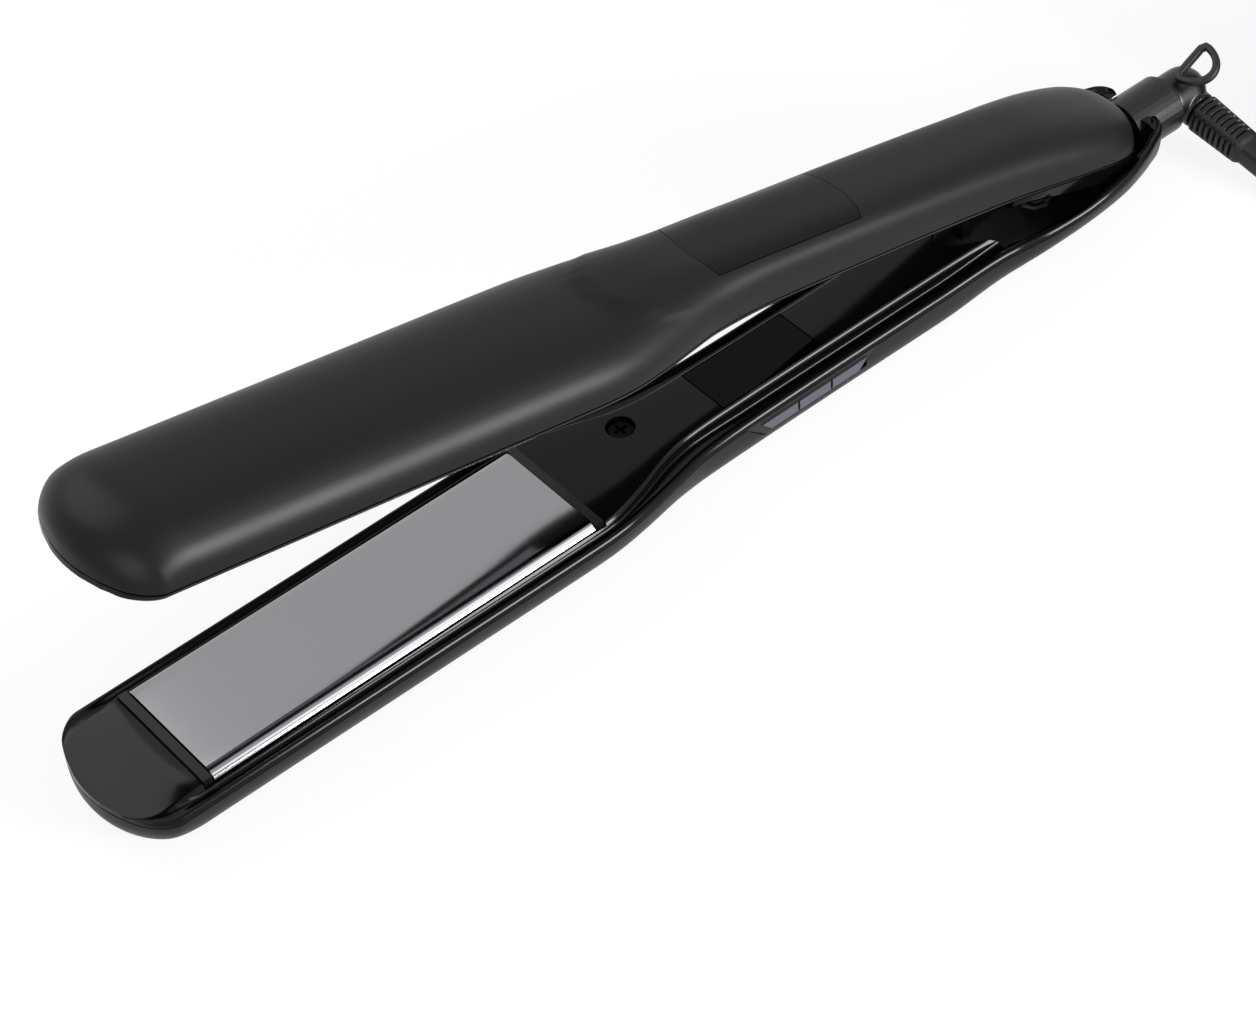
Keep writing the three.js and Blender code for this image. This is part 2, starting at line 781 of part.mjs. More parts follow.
// An outline in X and Z moved outwards by a distance on every side.
function outset(points, distance) {
  const area = THREE.ShapeUtils.area(points.map(([x, z]) => new THREE.Vector2(x, z)));
  const turn = Math.sign(area) * distance;
  return points.map((point, i) => {
    const before = points[(i + points.length - 1) % points.length];
    const after = points[(i + 1) % points.length];
    const first = new THREE.Vector2(point[0] - before[0], point[1] - before[1]).normalize();
    const second = new THREE.Vector2(after[0] - point[0], after[1] - point[1]).normalize();
    const reach = turn / (1 + first.dot(second));
    return [point[0] + (first.y + second.y) * reach, point[1] - (first.x + second.x) * reach];
  });
}

const keySection = sectionAt(lowerArm, keyStart + 1.5 * keyPitch);
const keyPanelLevel = -(keySection.lip + lipHeight + clearance / 2);
const keyLevel = keyPanelLevel - keyPanelHeight / 2;
const keyFace = keySection.width;
const keyBack = keyFace - shellWall - 2 * clearance - keyFlange;

function keyOutline(index) {
  const from = keyStart + index * keyPitch;
  const to = from + keyPitch - 2 * clearance;
  const low = keyLevel - keyHeight / 2;
  const high = keyLevel + keyHeight / 2;
  const foreSlant = index === 0 ? keySlant : 0;
  const backSlant = index === 2 ? keySlant : 0;
  return [
    [from - foreSlant / 2, high],
    [from + foreSlant / 2, low],
    [to - backSlant / 2, low],
    [to + backSlant / 2, high],
  ];
}

function keyPanelOutline() {
  const end = keyPanelStart + keyPanelTop;
  return [
    [keyPanelStart, keyPanelLevel],
    [keyPanelStart + keyPanelSlant, keyPanelLevel - keyPanelHeight],
    [end - keyPanelBackSlant, keyPanelLevel - keyPanelHeight],
    [end, keyPanelLevel],
  ];
}

function keyCuts(y0, y1) {
  const cuts = [0, 1, 2].map((index) => slabY(outset(keyOutline(index), clearance / 2), y0, y1));
  return cuts[0].add(cuts[1]).add(cuts[2]);
}

function keySlot() {
  const from = keyStart - keySlant;
  const to = keyStart + 3 * keyPitch + keySlant;
  const half = keyHeight / 2 + clearance;
  return block(from, to, -armHalfWidth, -keyFace / 2, keyLevel - half, keyLevel + half);
}

function lowerShell() {
  let shell = armShell(lowerArm, restLevel);
  shell = shell.add(bossSolid(-1)).add(bossSolid(1));
  const inletY = -(keyFace - keyPanelThickness);
  const recess = slabY(outset(keyPanelOutline(), clearance), -armHalfWidth, inletY);
  return shell.subtract(recess).subtract(keySlot()).subtract(collarCut());
}

function bezelSolid() {
  const plate = slabY(keyPanelOutline(), -keyFace, -(keyFace - keyPanelThickness + clearance / 2));
  return plate.subtract(keyCuts(-armHalfWidth, 0));
}

function keySolid(index) {
  const outline = keyOutline(index);
  const low = keyLevel - keyHeight / 2;
  const flangeOutline = outline.map(([x, z]) => [x, z > keyLevel ? z : low - clearance]);
  const cap = slabY(outline, -(keyFace + keyProud), -(keyBack + keyFlange / 2));
  const flange = slabY(flangeOutline, -(keyBack + keyFlange), -keyBack);
  return cap.add(flange);
}

function keyMatSolid() {
  const from = keyStart - keySlant / 2;
  const to = keyStart + 3 * keyPitch + keySlant / 2;
  const back = keyBack - keyGap;
  return block(from, to, -back, -(back - keyMatThickness), keyLevel - keyHeight, keyLevel + keyHeight / 3);
}

function keyBoardSolid() {
  const from = keyStart - keySlant;
  const to = keyStart + 3 * keyPitch + keySlant;
  const front = keyBack - keyGap - keyMatThickness - clearance;
  const low = restLevel + shellWall + 2 * clearance;
  return block(from, to, -front, -(front - boardThickness), low, keyLevel + keyHeight / 3);
}

function boardSolid() {
  const low = restLevel + shellWall + boardLift;
  return block(
    boardStart,
    boardStart + boardLength,
    -boardHalfWidth,
    boardHalfWidth,
    low,
    low + boardThickness,
  );
}

function cavityCut() {
  const widest = (x) => sectionAt(lowerArm, x).width - lipWidth;
  const half = (x) => Math.min(widest(x), cavityWidth * ((x - cavityStart) / cavityArch) ** 0.6);
  const front = [0.01, 0.06, 0.2, 0.45, 0.75, 1].map((share) => cavityStart + share * cavityArch);
  const rest = steps(cavityStart + 1.2 * cavityArch, cavityEnd, 12);
  const arch = planCutter(lowerArm, [...front, ...rest], half, -overrun, overrun);
  return arch.add(earSlot(1)).add(earSlot(-1));
}

// Room beside the arch for an ear to come down into as the arms close.
function earSlot(side) {
  const from = earStart - 3 * clearance;
  const stations = [from, earStart + clearance, ...steps(earStart + earNose / 2, springX, 5)];
  const rings = stations.map((x) => {
    const [inner, outer] = earRing(Math.max(x, earStart + clearance), 1).map((p) => p.y);
    const y0 = side * (inner - clearance);
    const y1 = side * (outer + clearance);
    return [at(x, y0, -overrun), at(x, y0, overrun), at(x, y1, overrun), at(x, y1, -overrun)];
  });
  return loft(rings);
}

function screwRecess(x, y) {
  const bottom = -(deckDrop + recessDepth);
  const well = bar(at(x, y, bottom), at(x, y, overrun), recessRadius);
  const bore = screwShankRadius + clearance;
  const hole = bar(at(x, y, -overrun), at(x, y, overrun), bore, bore, 16);
  return well.add(hole);
}

function screwSolid(x, y) {
  const seat = -(deckDrop + recessDepth) + clearance;
  const head = bar(at(x, y, seat), at(x, y, seat + screwHeadHeight), screwHeadRadius, screwHeadRadius, 20);
  const top = seat + screwHeadHeight / 2;
  const shank = bar(at(x, y, seat - screwLength), at(x, y, top), screwShankRadius, screwShankRadius, 12);
  const slot = block(
    x - screwHeadRadius * 0.6,
    x + screwHeadRadius * 0.6,
    y - screwHeadHeight / 4,
    y + screwHeadHeight / 4,
    seat + screwHeadHeight / 2,
    overrun,
  );
  const cross = block(
    x - screwHeadHeight / 4,
    x + screwHeadHeight / 4,
    y - screwHeadRadius * 0.6,
    y + screwHeadRadius * 0.6,
    seat + screwHeadHeight / 2,
    overrun,
  );
  return head.add(shank).subtract(slot).subtract(cross);
}

function lowerLiner() {
  const windowRecess = block(
    windowStart - clearance,
    windowStart + windowLength + clearance,
    -(windowHalfWidth + clearance),
    windowHalfWidth + clearance,
    -(deckDrop + windowLedge),
    overrun,
  );
  const inset = 2 * windowLedge;
  const through = block(
    windowStart + inset,
    windowStart + windowLength - inset,
    -(windowHalfWidth - inset),
    windowHalfWidth - inset,
    -overrun,
    overrun,
  );
  return armLiner(lowerArm)
    .subtract(cavityCut())
    .subtract(windowRecess)
    .subtract(through)
    .subtract(screwRecess(recessX, recessY))
    .subtract(collarCut());
}

function windowSolid() {
  const top = -deckDrop;
  return block(
    windowStart,
    windowStart + windowLength,
    -windowHalfWidth,
    windowHalfWidth,
    top - windowThickness,
    top,
  );
}

function moduleSolid() {
  const inset = windowLedge;
  const top = -(deckDrop + deckWall) - clearance;
  return block(
    windowStart + inset,
    windowStart + windowLength - inset,
    -(windowHalfWidth - 2 * inset),
    windowHalfWidth - 2 * inset,
    top - moduleHeight,
    top,
  );
}

function inlayOutline(grow) {
  const from = inlayStart - grow;
  const to = inlayStart + inlayLength + grow;
  const half = inlayHalfWidth + grow;
  const arc = (x, sign) => steps(-1, 1, 6).map((t) => at(x - inlayBow * (1 - t * t) * 1, sign * t * half, 0));
  const front = arc(from, -1);
  const back = arc(to, 1).map((p) => p.setX(2 * to - p.x));
  return [...front, ...back].map((p) => new THREE.Vector2(p.x, p.y));
}

function inlayPrism(grow) {
  const shape = new THREE.Shape(inlayOutline(grow));
  const geometry = new THREE.ExtrudeGeometry(shape, { depth: 2 * overrun, bevelEnabled: false });
  geometry.translate(0, 0, -2 * overrun);
  return toSolid(geometry);
}

// The layer of the upper shell between two depths under its skin.
function shellLayer(from, to) {
  const stations = steps(inlayStart - 2 * inlayBow, inlayStart + inlayLength + 2 * inlayBow, 12);
  const layer = (wall) => loft(stations.map((x) => raisedSkinRing(upperArm, x, wall, -overrun)));
  const outer = layer(from);
  const inner = layer(to);
  return outer.subtract(inner);
}

// A low pad for the thumb that starts with a curved step and fades into the shell behind it.
function thumbPad() {
  const stations = [0.01, 0.05, 0.15, 0.35, 0.65, 1].map((share) => thumbPadStart + share * thumbPadNose);
  const rest = steps(thumbPadStart + 1.3 * thumbPadNose, thumbPadStart + thumbPadLength, 4);
  const rings = [...stations, ...rest].map((x) => {
    const s = sectionAt(upperArm, x);
    const fore = Math.min((x - thumbPadStart) / thumbPadNose, 1);
    const half = Math.min(thumbPadHalfWidth, s.width - clearance) * Math.sqrt(fore);
    const raise = thumbPadHeight * (1 - (x - thumbPadStart) / thumbPadLength);
    const across = steps(-1, 1, 10);
    const skin = (share) => {
      const reach = Math.abs((share * half) / s.width);
      return -(s.lip + (s.depth - s.lip) * (1 - reach ** s.power) ** (1 / s.power));
    };
    const top = across.map((t) => at(x, t * half, skin(t) - raise * (1 - t ** 4)));
    const under = across.map((t) => at(x, t * half, skin(t) + shellWall / 2)).reverse();
    return [...top, ...under];
  });
  return loft(rings);
}

function upperShell() {
  const recess = shellLayer(-1, inlayThickness).intersect(inlayPrism(clearance / 2));
  return armShell(upperArm, -overrun).add(thumbPad()).subtract(recess);
}

function inlaySolid() {
  return shellLayer(0, inlayThickness - clearance / 2).intersect(inlayPrism(0));
}

function lugSolid() {
  const root = -2 * deckDrop;
  const end = lugStart + lugLength;
  const post = block(lugStart, end, lugAside - lugHalfWidth, lugAside + lugHalfWidth, root, lugHeight);
  const fin = slabY(
    [
      [lugStart + lugLength / 2, root],
      [lugStart + lugLength / 2, lugHeight - lugLength / 4],
      [end, lugHeight - lugLength / 4],
      [end + finLength, finHeight],
      [end + finLength, root],
    ],
    lugAside - lugHalfWidth / 2,
    lugAside + lugHalfWidth / 2,
  );
  return post.add(fin);
}

function upperLiner() {
  return armLiner(upperArm)
    .add(earSolid(1))
    .add(earSolid(-1))
    .add(lugSolid())
    .subtract(screwRecess(recessX, -recessY));
}

// Leads
function leadSolid(points) {
  const curve = new THREE.CatmullRomCurve3(points);
  return tube(curve, leadRadius, 6, 4 * (points.length - 1));
}

function lowerLead() {
  const low = restLevel + shellWall + boardLift + boardThickness + clearance + leadRadius;
  const top = carrierUnder - clearance - leadRadius;
  return leadSolid([
    at(carrierEnd - 3 * barLength, leadAside, top - leadRadius),
    at(carrierEnd, leadAside, top - 2 * leadRadius),
    at((carrierEnd + boardStart) / 2, leadAside, (top + low) / 2),
    at(boardStart, leadAside, low),
    at(boardStart + 4 * leadRadius, leadAside, low),
  ]);
}

function upperLead() {
  const level = -(deckDrop + deckWall) - clearance - fuseRadius;
  const from = carrierEnd + 1.5 * fuseLength + clearance;
  const low = level - leadRadius;
  return leadSolid([
    at(from, 0, level),
    at(from + fuseLength, -leadAside, low),
    at((from + cavityStart) / 2, -leadAside, low),
    at(cavityStart, -leadAside, low - leadRadius),
    at(springX - 2 * springRadius, -leadAside, low - leadRadius),
  ]);
}

// Swivel
function collarSolid() {
  const start = at(collarStart, 0, -swivelDrop);
  const end = at(collarEnd, 0, -swivelDrop);
  const bevel = at(collarEnd - lipHeight / 2, 0, -swivelDrop);
  const body = bar(start, bevel, collarRadius, collarRadius, 36);
  const nose = bar(bevel, end, collarRadius, collarRadius - lipHeight / 2, 36);
  const bore = bar(at(0, 0, -swivelDrop), at(armLength + overrun, 0, -swivelDrop), collarBore);
  return body.add(nose).subtract(bore);
}

function socketSolid() {
  const start = at(socketStart, 0, -swivelDrop);
  const end = at(socketStart + socketLength, 0, -swivelDrop);
  const radius = collarBore - clearance;
  const boreStart = at(socketStart + socketWall, 0, -swivelDrop);
  const bore = bar(boreStart, at(armLength, 0, -swivelDrop), contactRadius + clearance);
  return bar(start, end, radius).subtract(bore);
}

function contactSolid() {
  const start = at(socketStart + socketWall + contactInset, 0, -swivelDrop);
  const end = at(socketStart + socketLength + contactReach, 0, -swivelDrop);
  return bar(start, end, contactRadius, contactRadius, 16);
}

const reliefDirection = at(0, -Math.cos(droop), -Math.sin(droop));
const elbowCentre = at(elbowX, 0, -swivelDrop);

function elbowPoint(distance) {
  return elbowCentre.clone().add(at(0, 0, -branchDrop)).addScaledVector(reliefDirection, distance);
}

function elbowBall(radius) {
  const ball = new THREE.SphereGeometry(radius, 18, 10);
  ball.translate(elbowCentre.x, elbowCentre.y, elbowCentre.z);
  return toSolid(ball);
}

function elbowSolid() {
  const spigotStart = at(socketStart + socketLength + clearance, 0, -swivelDrop);
  const seat = at(collarEnd + clearance, 0, -swivelDrop);
  const spigot = bar(spigotStart, elbowCentre, collarBore - clearance);
  const contactHole = bar(
    at(0, 0, -swivelDrop),
    at(socketStart + socketLength + contactReach + clearance, 0, -swivelDrop),
    contactRadius + clearance,
  );
  const neck = bar(seat, elbowCentre, elbowRadius);
  const branchEnd = elbowPoint(elbowRadius + clearance);
  const branch = bar(elbowPoint(0), branchEnd, elbowRadius - branchDrop / 4, elbowRadius - branchDrop);
  const shoulder = elbowBall(elbowRadius).add(neck).add(branch);
  return spigot.add(shoulder).subtract(contactHole);
}

// A square bar with cut ribs, turned to run along the cord's way out.
function reliefSolid() {
  const root = reliefRoot / 2;
  const shoulder = reliefShoulder / 2;
  const tip = reliefTip / 2;
  const ringAt = (distance, half, cornerShare = 0.7) => {
    const chamfer = half * cornerShare;
    return [
      [half, chamfer],
      [chamfer, half],
      [-chamfer, half],
      [-half, chamfer],
      [-half, -chamfer],
      [-chamfer, -half],
      [chamfer, -half],
      [half, -chamfer],
    ].map(([x, z]) => at(distance, x, z));
  };
  const ribbed = reliefLength * ribbedShare;
  const body = loft([
    ringAt(0, root),
    ringAt(ribbed, shoulder),
    ringAt(ribbed + ribGap, (shoulder + tip) / 2, 0.5),
    ringAt(reliefLength, tip, 0.42),
  ]);
  const pitch = (reliefLength * ribShare) / reliefRibs;
  let cut = body;
  for (let i = 0; i < reliefRibs; i += 1) {
    const from = (i + 0.6) * pitch;
    const half = root + ((shoulder - root) * from) / ribbed;
    const corner = half * 0.6;
    const far = half + overrun;
    const near = half - ribDepth;
    [-1, 1].forEach((side) => {
      const low = side > 0 ? near : -far;
      const high = side > 0 ? far : -near;
      cut = cut.subtract(block(from, from + ribGap, low, high, -corner, corner));
      cut = cut.subtract(block(from, from + ribGap, -corner, corner, low, high));
    });
  }
  const geometry = toGeometry(cut);
  const basis = new THREE.Matrix4().makeBasis(
    reliefDirection,
    at(1, 0, 0),
    at(0, -Math.sin(droop), Math.cos(droop)),
  );
  if (basis.determinant() < 0) geometry.scale(1, 1, -1);
  geometry.applyMatrix4(basis);
  const start3 = elbowPoint(elbowRadius + 2 * clearance);
  geometry.translate(start3.x, start3.y, start3.z);
  return toSolid(geometry);
}

// A flat ring with one straight side, leaning back over the elbow.
function loopSolid() {
  const ring = (start, end, top, reach, depth) => {
    const shape = new THREE.Shape();
    const radius = (end - start) / 2;
    shape.moveTo(start, top);
    shape.lineTo(end, top);
    shape.absellipse(start + radius, top, radius, reach, 0, -Math.PI, true);
    return new THREE.ExtrudeGeometry(shape, { depth, bevelEnabled: false, curveSegments: 14 });
  };
  const outer = ring(0, loopLength, loopAside, loopReach, loopThickness);
  const hole = ring(
    loopLimb,
    loopLength - loopLimb,
    loopAside - loopLimb,
    loopReach - 2 * loopLimb,
    overrun,
  );
  hole.translate(0, 0, -overrun / 2);
  const geometry = toGeometry(toSolid(outer).subtract(toSolid(hole)));
  geometry.rotateY(-loopTilt);
  geometry.translate(collarEnd + loopThickness, 0, elbowRadius - swivelDrop);
  const clear = bar(
    at(collarEnd - overrun, 0, -swivelDrop),
    at(elbowX, 0, -swivelDrop),
    elbowRadius + clearance,
  );
  return toSolid(geometry).subtract(clear).subtract(elbowBall(elbowRadius + clearance));
}

// Cord: the two stretches that aren't wound have points chosen by hand, in millimetres. The lead's start
// where the cord leaves the strain relief, straight on for one diameter before a bend of four.
const leadRoute = [
  [0, 0, 0],
  [0, -2.6, -0.41],
  [0, -5.2, -0.82],
  [0.07, -7.9, -1.1],
  [0.4, -10.26, -1.3],
  [1.58, -14.16, -1.5],
  [3.51, -17.76, -1.6],
  [6.09, -20.91, -1.6],
  [9.24, -23.49, -1.53],
  [12.84, -25.42, -1.42],
  [16.74, -26.6, -1.32],
  [19.1, -26.93, -1.28],
  [21.8, -27, -1.27],
  [26.4, -27, -1.27],
  [32.4, -27, -1.27],
];
const cordStart = elbowPoint(elbowRadius + reliefLength + 3 * clearance);
const hankOuterRadius = foldRadius + turnPitch * turnsPerLayer;
const leadPoints = leadRoute.map(([x, y, z]) => cordStart.clone().add(at(x, y, z)));
const hankY = leadPoints[leadPoints.length - 1].y + hankOuterRadius;

// Long loops, two runs and two folds each, that wind in and out again at a steady rate.
// It climbs to the next layer along the run after the winding reverses, and keeps its radius there.
class HankCurve extends THREE.Curve {
  getPoint(t) {
    const turned = t * hankLayers * turnsPerLayer;
    const layer = Math.min(Math.floor(turned / turnsPerLayer), hankLayers - 1);
    const within = turned - layer * turnsPerLayer;
    const inward = layer % 2 === 0;
    const held = layer > 0 ? runShare : 0;
    const wound = (Math.max(within - held, 0) * turnsPerLayer) / (turnsPerLayer - held);
    const radius = inward ? hankOuterRadius - turnPitch * wound : foldRadius + turnPitch * wound;
    const climb = layer > 0 && within < runShare ? 1 - smooth(within / runShare) : 0;
    const level = layer - climb;
    const [x, y] = aroundLoop(turned - Math.floor(turned), radius);
    return at(hankX + x, hankY + y, restLevel + hankLift + cordRadius + level * turnPitch);
  }
}

// A place on one loop: a run, a fold, a run and a fold, with both runs drawn in alike at the waist.
function aroundLoop(share, radius) {
  const half = hankRun / 2;
  const drawn = (t) => radius - (waistDepth * (1 - Math.cos(2 * Math.PI * t))) / 2;
  const near = share / runShare;
  const far = (share - 1 / 2) / runShare;
  if (near < 1) return [-half + hankRun * near, -drawn(near)];
  if (far >= 0 && far < 1) return [half - hankRun * far, drawn(far)];
  const foldShare = 1 / 2 - runShare;
  if (far < 0) {
    const angle = Math.PI * ((share - runShare) / foldShare - 1 / 2);
    return [half + radius * Math.cos(angle), radius * Math.sin(angle)];
  }
  const angle = Math.PI * ((share - 1 / 2 - runShare) / foldShare + 1 / 2);
  return [-half + radius * Math.cos(angle), radius * Math.sin(angle)];
}

function smooth(t) {
  return t * t * (3 - 2 * t);
}

const hankSteps = 24 * hankLayers * turnsPerLayer;
const hankPoints = steps(0, 1, Math.round(hankSteps)).map((t) => new HankCurve().getPoint(t));

// A tube whose rings stand square to a list of points.
function sweep(points, radius, sides) {
  const up = at(0, 0, 1);
  const rings = points.map((p, i) => {
    const ahead = points[Math.min(i + 1, points.length - 1)];
    const behind = points[Math.max(i - 1, 0)];
    const along = new THREE.Vector3().subVectors(ahead, behind).normalize();
    const side = new THREE.Vector3().crossVectors(along, up).normalize();
    const rise = new THREE.Vector3().crossVectors(side, along);
    return steps(0, 1, sides - 1).map((_, j) => {
      const angle = (2 * Math.PI * (j + 0.5)) / sides;
      return p
        .clone()
        .addScaledVector(side, radius * Math.cos(angle))
        .addScaledVector(rise, radius * Math.sin(angle));
    });
  });
  return sweptSolid(rings);
}

function sweptSolid(rings) {
  const count = rings[0].length;
  const positions = rings.flat().flatMap((p) => [p.x, p.y, p.z]);
  const indices = [];
  for (let i = 0; i < rings.length - 1; i += 1) {
    for (let j = 0; j < count; j += 1) {
      const a = i * count + j;
      const b = i * count + ((j + 1) % count);
      indices.push(a, a + count, b, b, a + count, b + count);
    }
  }
  const last = (rings.length - 1) * count;
  for (let j = 1; j < count - 1; j += 1) {
    indices.push(0, j, j + 1);
    indices.push(last, last + j + 1, last + j);
  }
  return indexedSolid(positions, indices);
}

// The hank's two ends lead one diameter out along the run that they belong to.
const hankStart = hankPoints[0].clone().sub(at(cordDiameter, 0, 0));
const hankEnd = hankPoints[hankPoints.length - 1].clone().add(at(cordDiameter, 0, 0));

function hankSolid() {
  return sweep([hankStart, ...hankPoints, hankEnd], cordRadius, 6);
}

function hankGap() {
  let least = Infinity;
  hankPoints.forEach((p, i) => {
    for (let j = i + 8; j < hankPoints.length; j += 1) {
      least = Math.min(least, p.distanceTo(hankPoints[j]));
    }
  });
  return least - cordDiameter;
}

const cordRoute = [...leadPoints, hankStart.clone().sub(at(clearance, 0, 0))];
const cordCurve = new THREE.CatmullRomCurve3(cordRoute);

// The tail's points start from the hank's middle, and their third number is a share of the way from its
// top layer up to the plug. It leaves along the near run, folds back over the far end and meets the plug.
const tailRoute = [
  [-5.6, -27.4, 0],
  [-2.2, -26.7, 0],
  [1.2, -26.35, 0],
  [4.6, -26.6, 0.01],
  [8.8, -27.65, 0.03],
  [13.25, -28, 0.07],
  [17.5, -27.6, 0.13],
  [21.7, -26.3, 0.22],
  [28.8, -21.6, 0.4],
  [33.6, -14.4, 0.6],
  [35.25, -6, 0.79],
  [33.6, 2.4, 0.93],
  [28.8, 9.6, 0.99],
  [21.7, 14.3, 1],
  [13.25, 16, 1],
  [9.8, 16, 1],
];
const hankTop = hankEnd.z + cordRadius;
const plugLevel = hankTop + tieThickness + 2 * clearance + plugHeight / 2;
const tailPoints = [
  hankEnd.clone().add(at(clearance, 0, 0)),
  ...tailRoute.map(([x, y, lift]) => at(hankX + x, hankY + y, hankEnd.z + lift * (plugLevel - hankEnd.z))),
];
const tailCurve = new THREE.CatmullRomCurve3(tailPoints);

// A band round the hank's waist, over both its runs.
function tieSolid() {
  const atEdge = tieWidth / hankRun;
  const waist = (waistDepth * (1 + Math.cos(Math.PI * atEdge))) / 2;
  const room = cordRadius + clearance - waist;
  const underTie = (p) => Math.abs(p.x - hankX) < tieWidth / 2;
  const beneath = tailCurve.getPoints(tailRoute.length ** 2).filter(underTie);
  const near = -(Math.max(...beneath.map((p) => hankY - p.y)) + cordRadius + clearance);
  const far = hankOuterRadius - turnPitch * (1 / 2 - runShare) + room;
  const low = restLevel + hankLift - clearance;
  const high = hankTop + clearance;
  const t = tieThickness;
  const band = block(-tieWidth / 2, tieWidth / 2, near - t, far + t, low - t, high + t);
  const hole = block(-tieWidth, tieWidth, near, far, low, high);
  const geometry = toGeometry(band.subtract(hole));
  geometry.translate(hankX, hankY, 0);
  return toSolid(geometry);
}

// Plug, made along X from its cord entry and then set at the end of the tail.
function plugFrame(solid) {
  const geometry = toGeometry(solid);
  const end = tailPoints[tailPoints.length - 1];
  const way = tailCurve.getTangent(1);
  geometry.rotateZ(Math.atan2(way.y, way.x));
  geometry.translate(end.x, end.y, plugLevel);
  return toSolid(geometry);
}

function plugBody() {
  const entry = cordDiameter * 1.6;
  const profile = (x, halfY, halfZ) => {
    const cy = halfY * 0.7;
    const cz = halfZ * 0.6;
    return [
      at(x, halfY, cz),
      at(x, cy, halfZ),
      at(x, -cy, halfZ),
      at(x, -halfY, cz),
      at(x, -halfY, -cz),
      at(x, -cy, -halfZ),
      at(x, cy, -halfZ),
      at(x, halfY, -cz),
    ];
  };
  return loft([
    profile(clearance, entry / 2, entry / 2),
    profile(plugLength * 0.3, entry * 0.7, entry * 0.6),
    profile(plugLength * 0.5, plugWidth * 0.4, plugHeight * 0.42),
    profile(plugLength * 0.7, plugWidth / 2, plugHeight / 2),
    profile(plugLength, plugWidth / 2, plugHeight / 2),
  ]);
}

function bladeSolid(side) {
  const y = (side * bladeSpacing) / 2;
  return block(
    plugLength + clearance,
    plugLength + clearance + bladeLength,
    y - bladeThickness / 2,
    y + bladeThickness / 2,
    -bladeWidth / 2,
    bladeWidth / 2,
  );
}

// Materials
const finishes = {
  mattePlastic: { color: 0x242424, roughness: 0.55, metalness: 0 },
  glossPlastic: { color: 0x0c0c0c, roughness: 0.12, metalness: 0 },
  darkPlastic: { color: 0x161616, roughness: 0.4, metalness: 0 },
  plateCoating: { color: 0x6c6c70, roughness: 0.12, metalness: 1 },
  glass: { color: 0x050505, roughness: 0.03, metalness: 0 },
  keyPlastic: { color: 0x40414a, roughness: 0.4, metalness: 0 },
  cordRubber: { color: 0x151515, roughness: 0.6, metalness: 0 },
  silicone: { color: 0x9a4a3a, roughness: 0.7, metalness: 0 },
  ceramic: { color: 0xd8d4c8, roughness: 0.6, metalness: 0 },
  circuitBoard: { color: 0x1f5a34, roughness: 0.5, metalness: 0 },
  steel: { color: 0xb8bcc0, roughness: 0.3, metalness: 1 },
  brass: { color: 0xc9a24a, roughness: 0.3, metalness: 1 },
};

function piece(name, solid, finish) {
  const mesh = new THREE.Mesh(toGeometry(solid), new THREE.MeshStandardMaterial(finishes[finish]));
  mesh.name = name;
  return mesh;
}

const padShares = [0.12, 0.88];

function heatedPlate(prefix) {
  return [
    piece(`${prefix}_plate`, plateSolid(), 'plateCoating'),
    piece(`${prefix}_plate_carrier`, carrierSolid(), 'darkPlastic'),
    piece(`${prefix}_heater`, heaterSolid(), 'ceramic'),
    piece(`${prefix}_temperature_sensor`, sensorSolid(), 'steel'),
  ];
}

function floatPads(prefix) {
  return padShares.map((share, i) => {
    const place = i === 0 ? 'front' : 'rear';
    return piece(`${prefix}_${place}_pad`, padSolid(plateStart + share * plateLength), 'silicone');
  });
}

const group = new THREE.Group();
group.position.z = -restLevel;
group.position.x = -originX();

function originX() {
  return armLength * originShare;
}

const upperGroup = new THREE.Group();
upperGroup.position.set(hingeX, 0, -hingeDrop);
upperGroup.rotation.y = openAngle;
const closedUpper = new THREE.Group();
closedUpper.position.set(-hingeX, 0, hingeDrop);
closedUpper.scale.z = -1;
upperGroup.add(closedUpper);
group.add(upperGroup);

group.add(
  piece('lower_shell', lowerShell(), 'mattePlastic'),
  piece('lower_liner', lowerLiner(), 'glossPlastic'),
  ...heatedPlate('lower'),
  ...floatPads('lower'),
  piece('lower_liner_screw', screwSolid(recessX, recessY), 'steel'),
  piece('display_window', windowSolid(), 'glass'),
  piece('display_module', moduleSolid(), 'darkPlastic'),
  piece('control_board', boardSolid(), 'circuitBoard'),
  piece('key_bezel', bezelSolid(), 'darkPlastic'),
  piece('key_mat', keyMatSolid(), 'silicone'),
  piece('key_board', keyBoardSolid(), 'circuitBoard'),
  piece('lower_lead', lowerLead(), 'cordRubber'),
  piece('return_spring', springSolid(), 'steel'),
  piece('near_hinge_pin', pinSolid(-1), 'steel'),
  piece('far_hinge_pin', pinSolid(1), 'steel'),
  piece('swivel_collar', collarSolid(), 'darkPlastic'),
  piece('swivel_socket', socketSolid(), 'darkPlastic'),
  piece('swivel_contact', contactSolid(), 'brass'),
  piece('swivel_elbow', elbowSolid(), 'darkPlastic'),
  piece('cord_relief', reliefSolid(), 'cordRubber'),
  piece('hanging_loop', loopSolid(), 'cordRubber'),
  piece('cord', tube(cordCurve, cordRadius, 10, 16), 'cordRubber'),
  piece('cord_hank', hankSolid(), 'cordRubber'),
  piece('cord_tail', tube(tailCurve, cordRadius, 10, 24), 'cordRubber'),
  piece('cord_tie', tieSolid(), 'cordRubber'),
  piece('plug_body', plugFrame(plugBody()), 'cordRubber'),
  piece('plug_blade_left', plugFrame(bladeSolid(1)), 'steel'),
  piece('plug_blade_right', plugFrame(bladeSolid(-1)), 'steel'),
);
['front', 'middle', 'rear'].forEach((place, index) => {
  group.add(piece(`${place}_key`, keySolid(index), 'keyPlastic'));
});

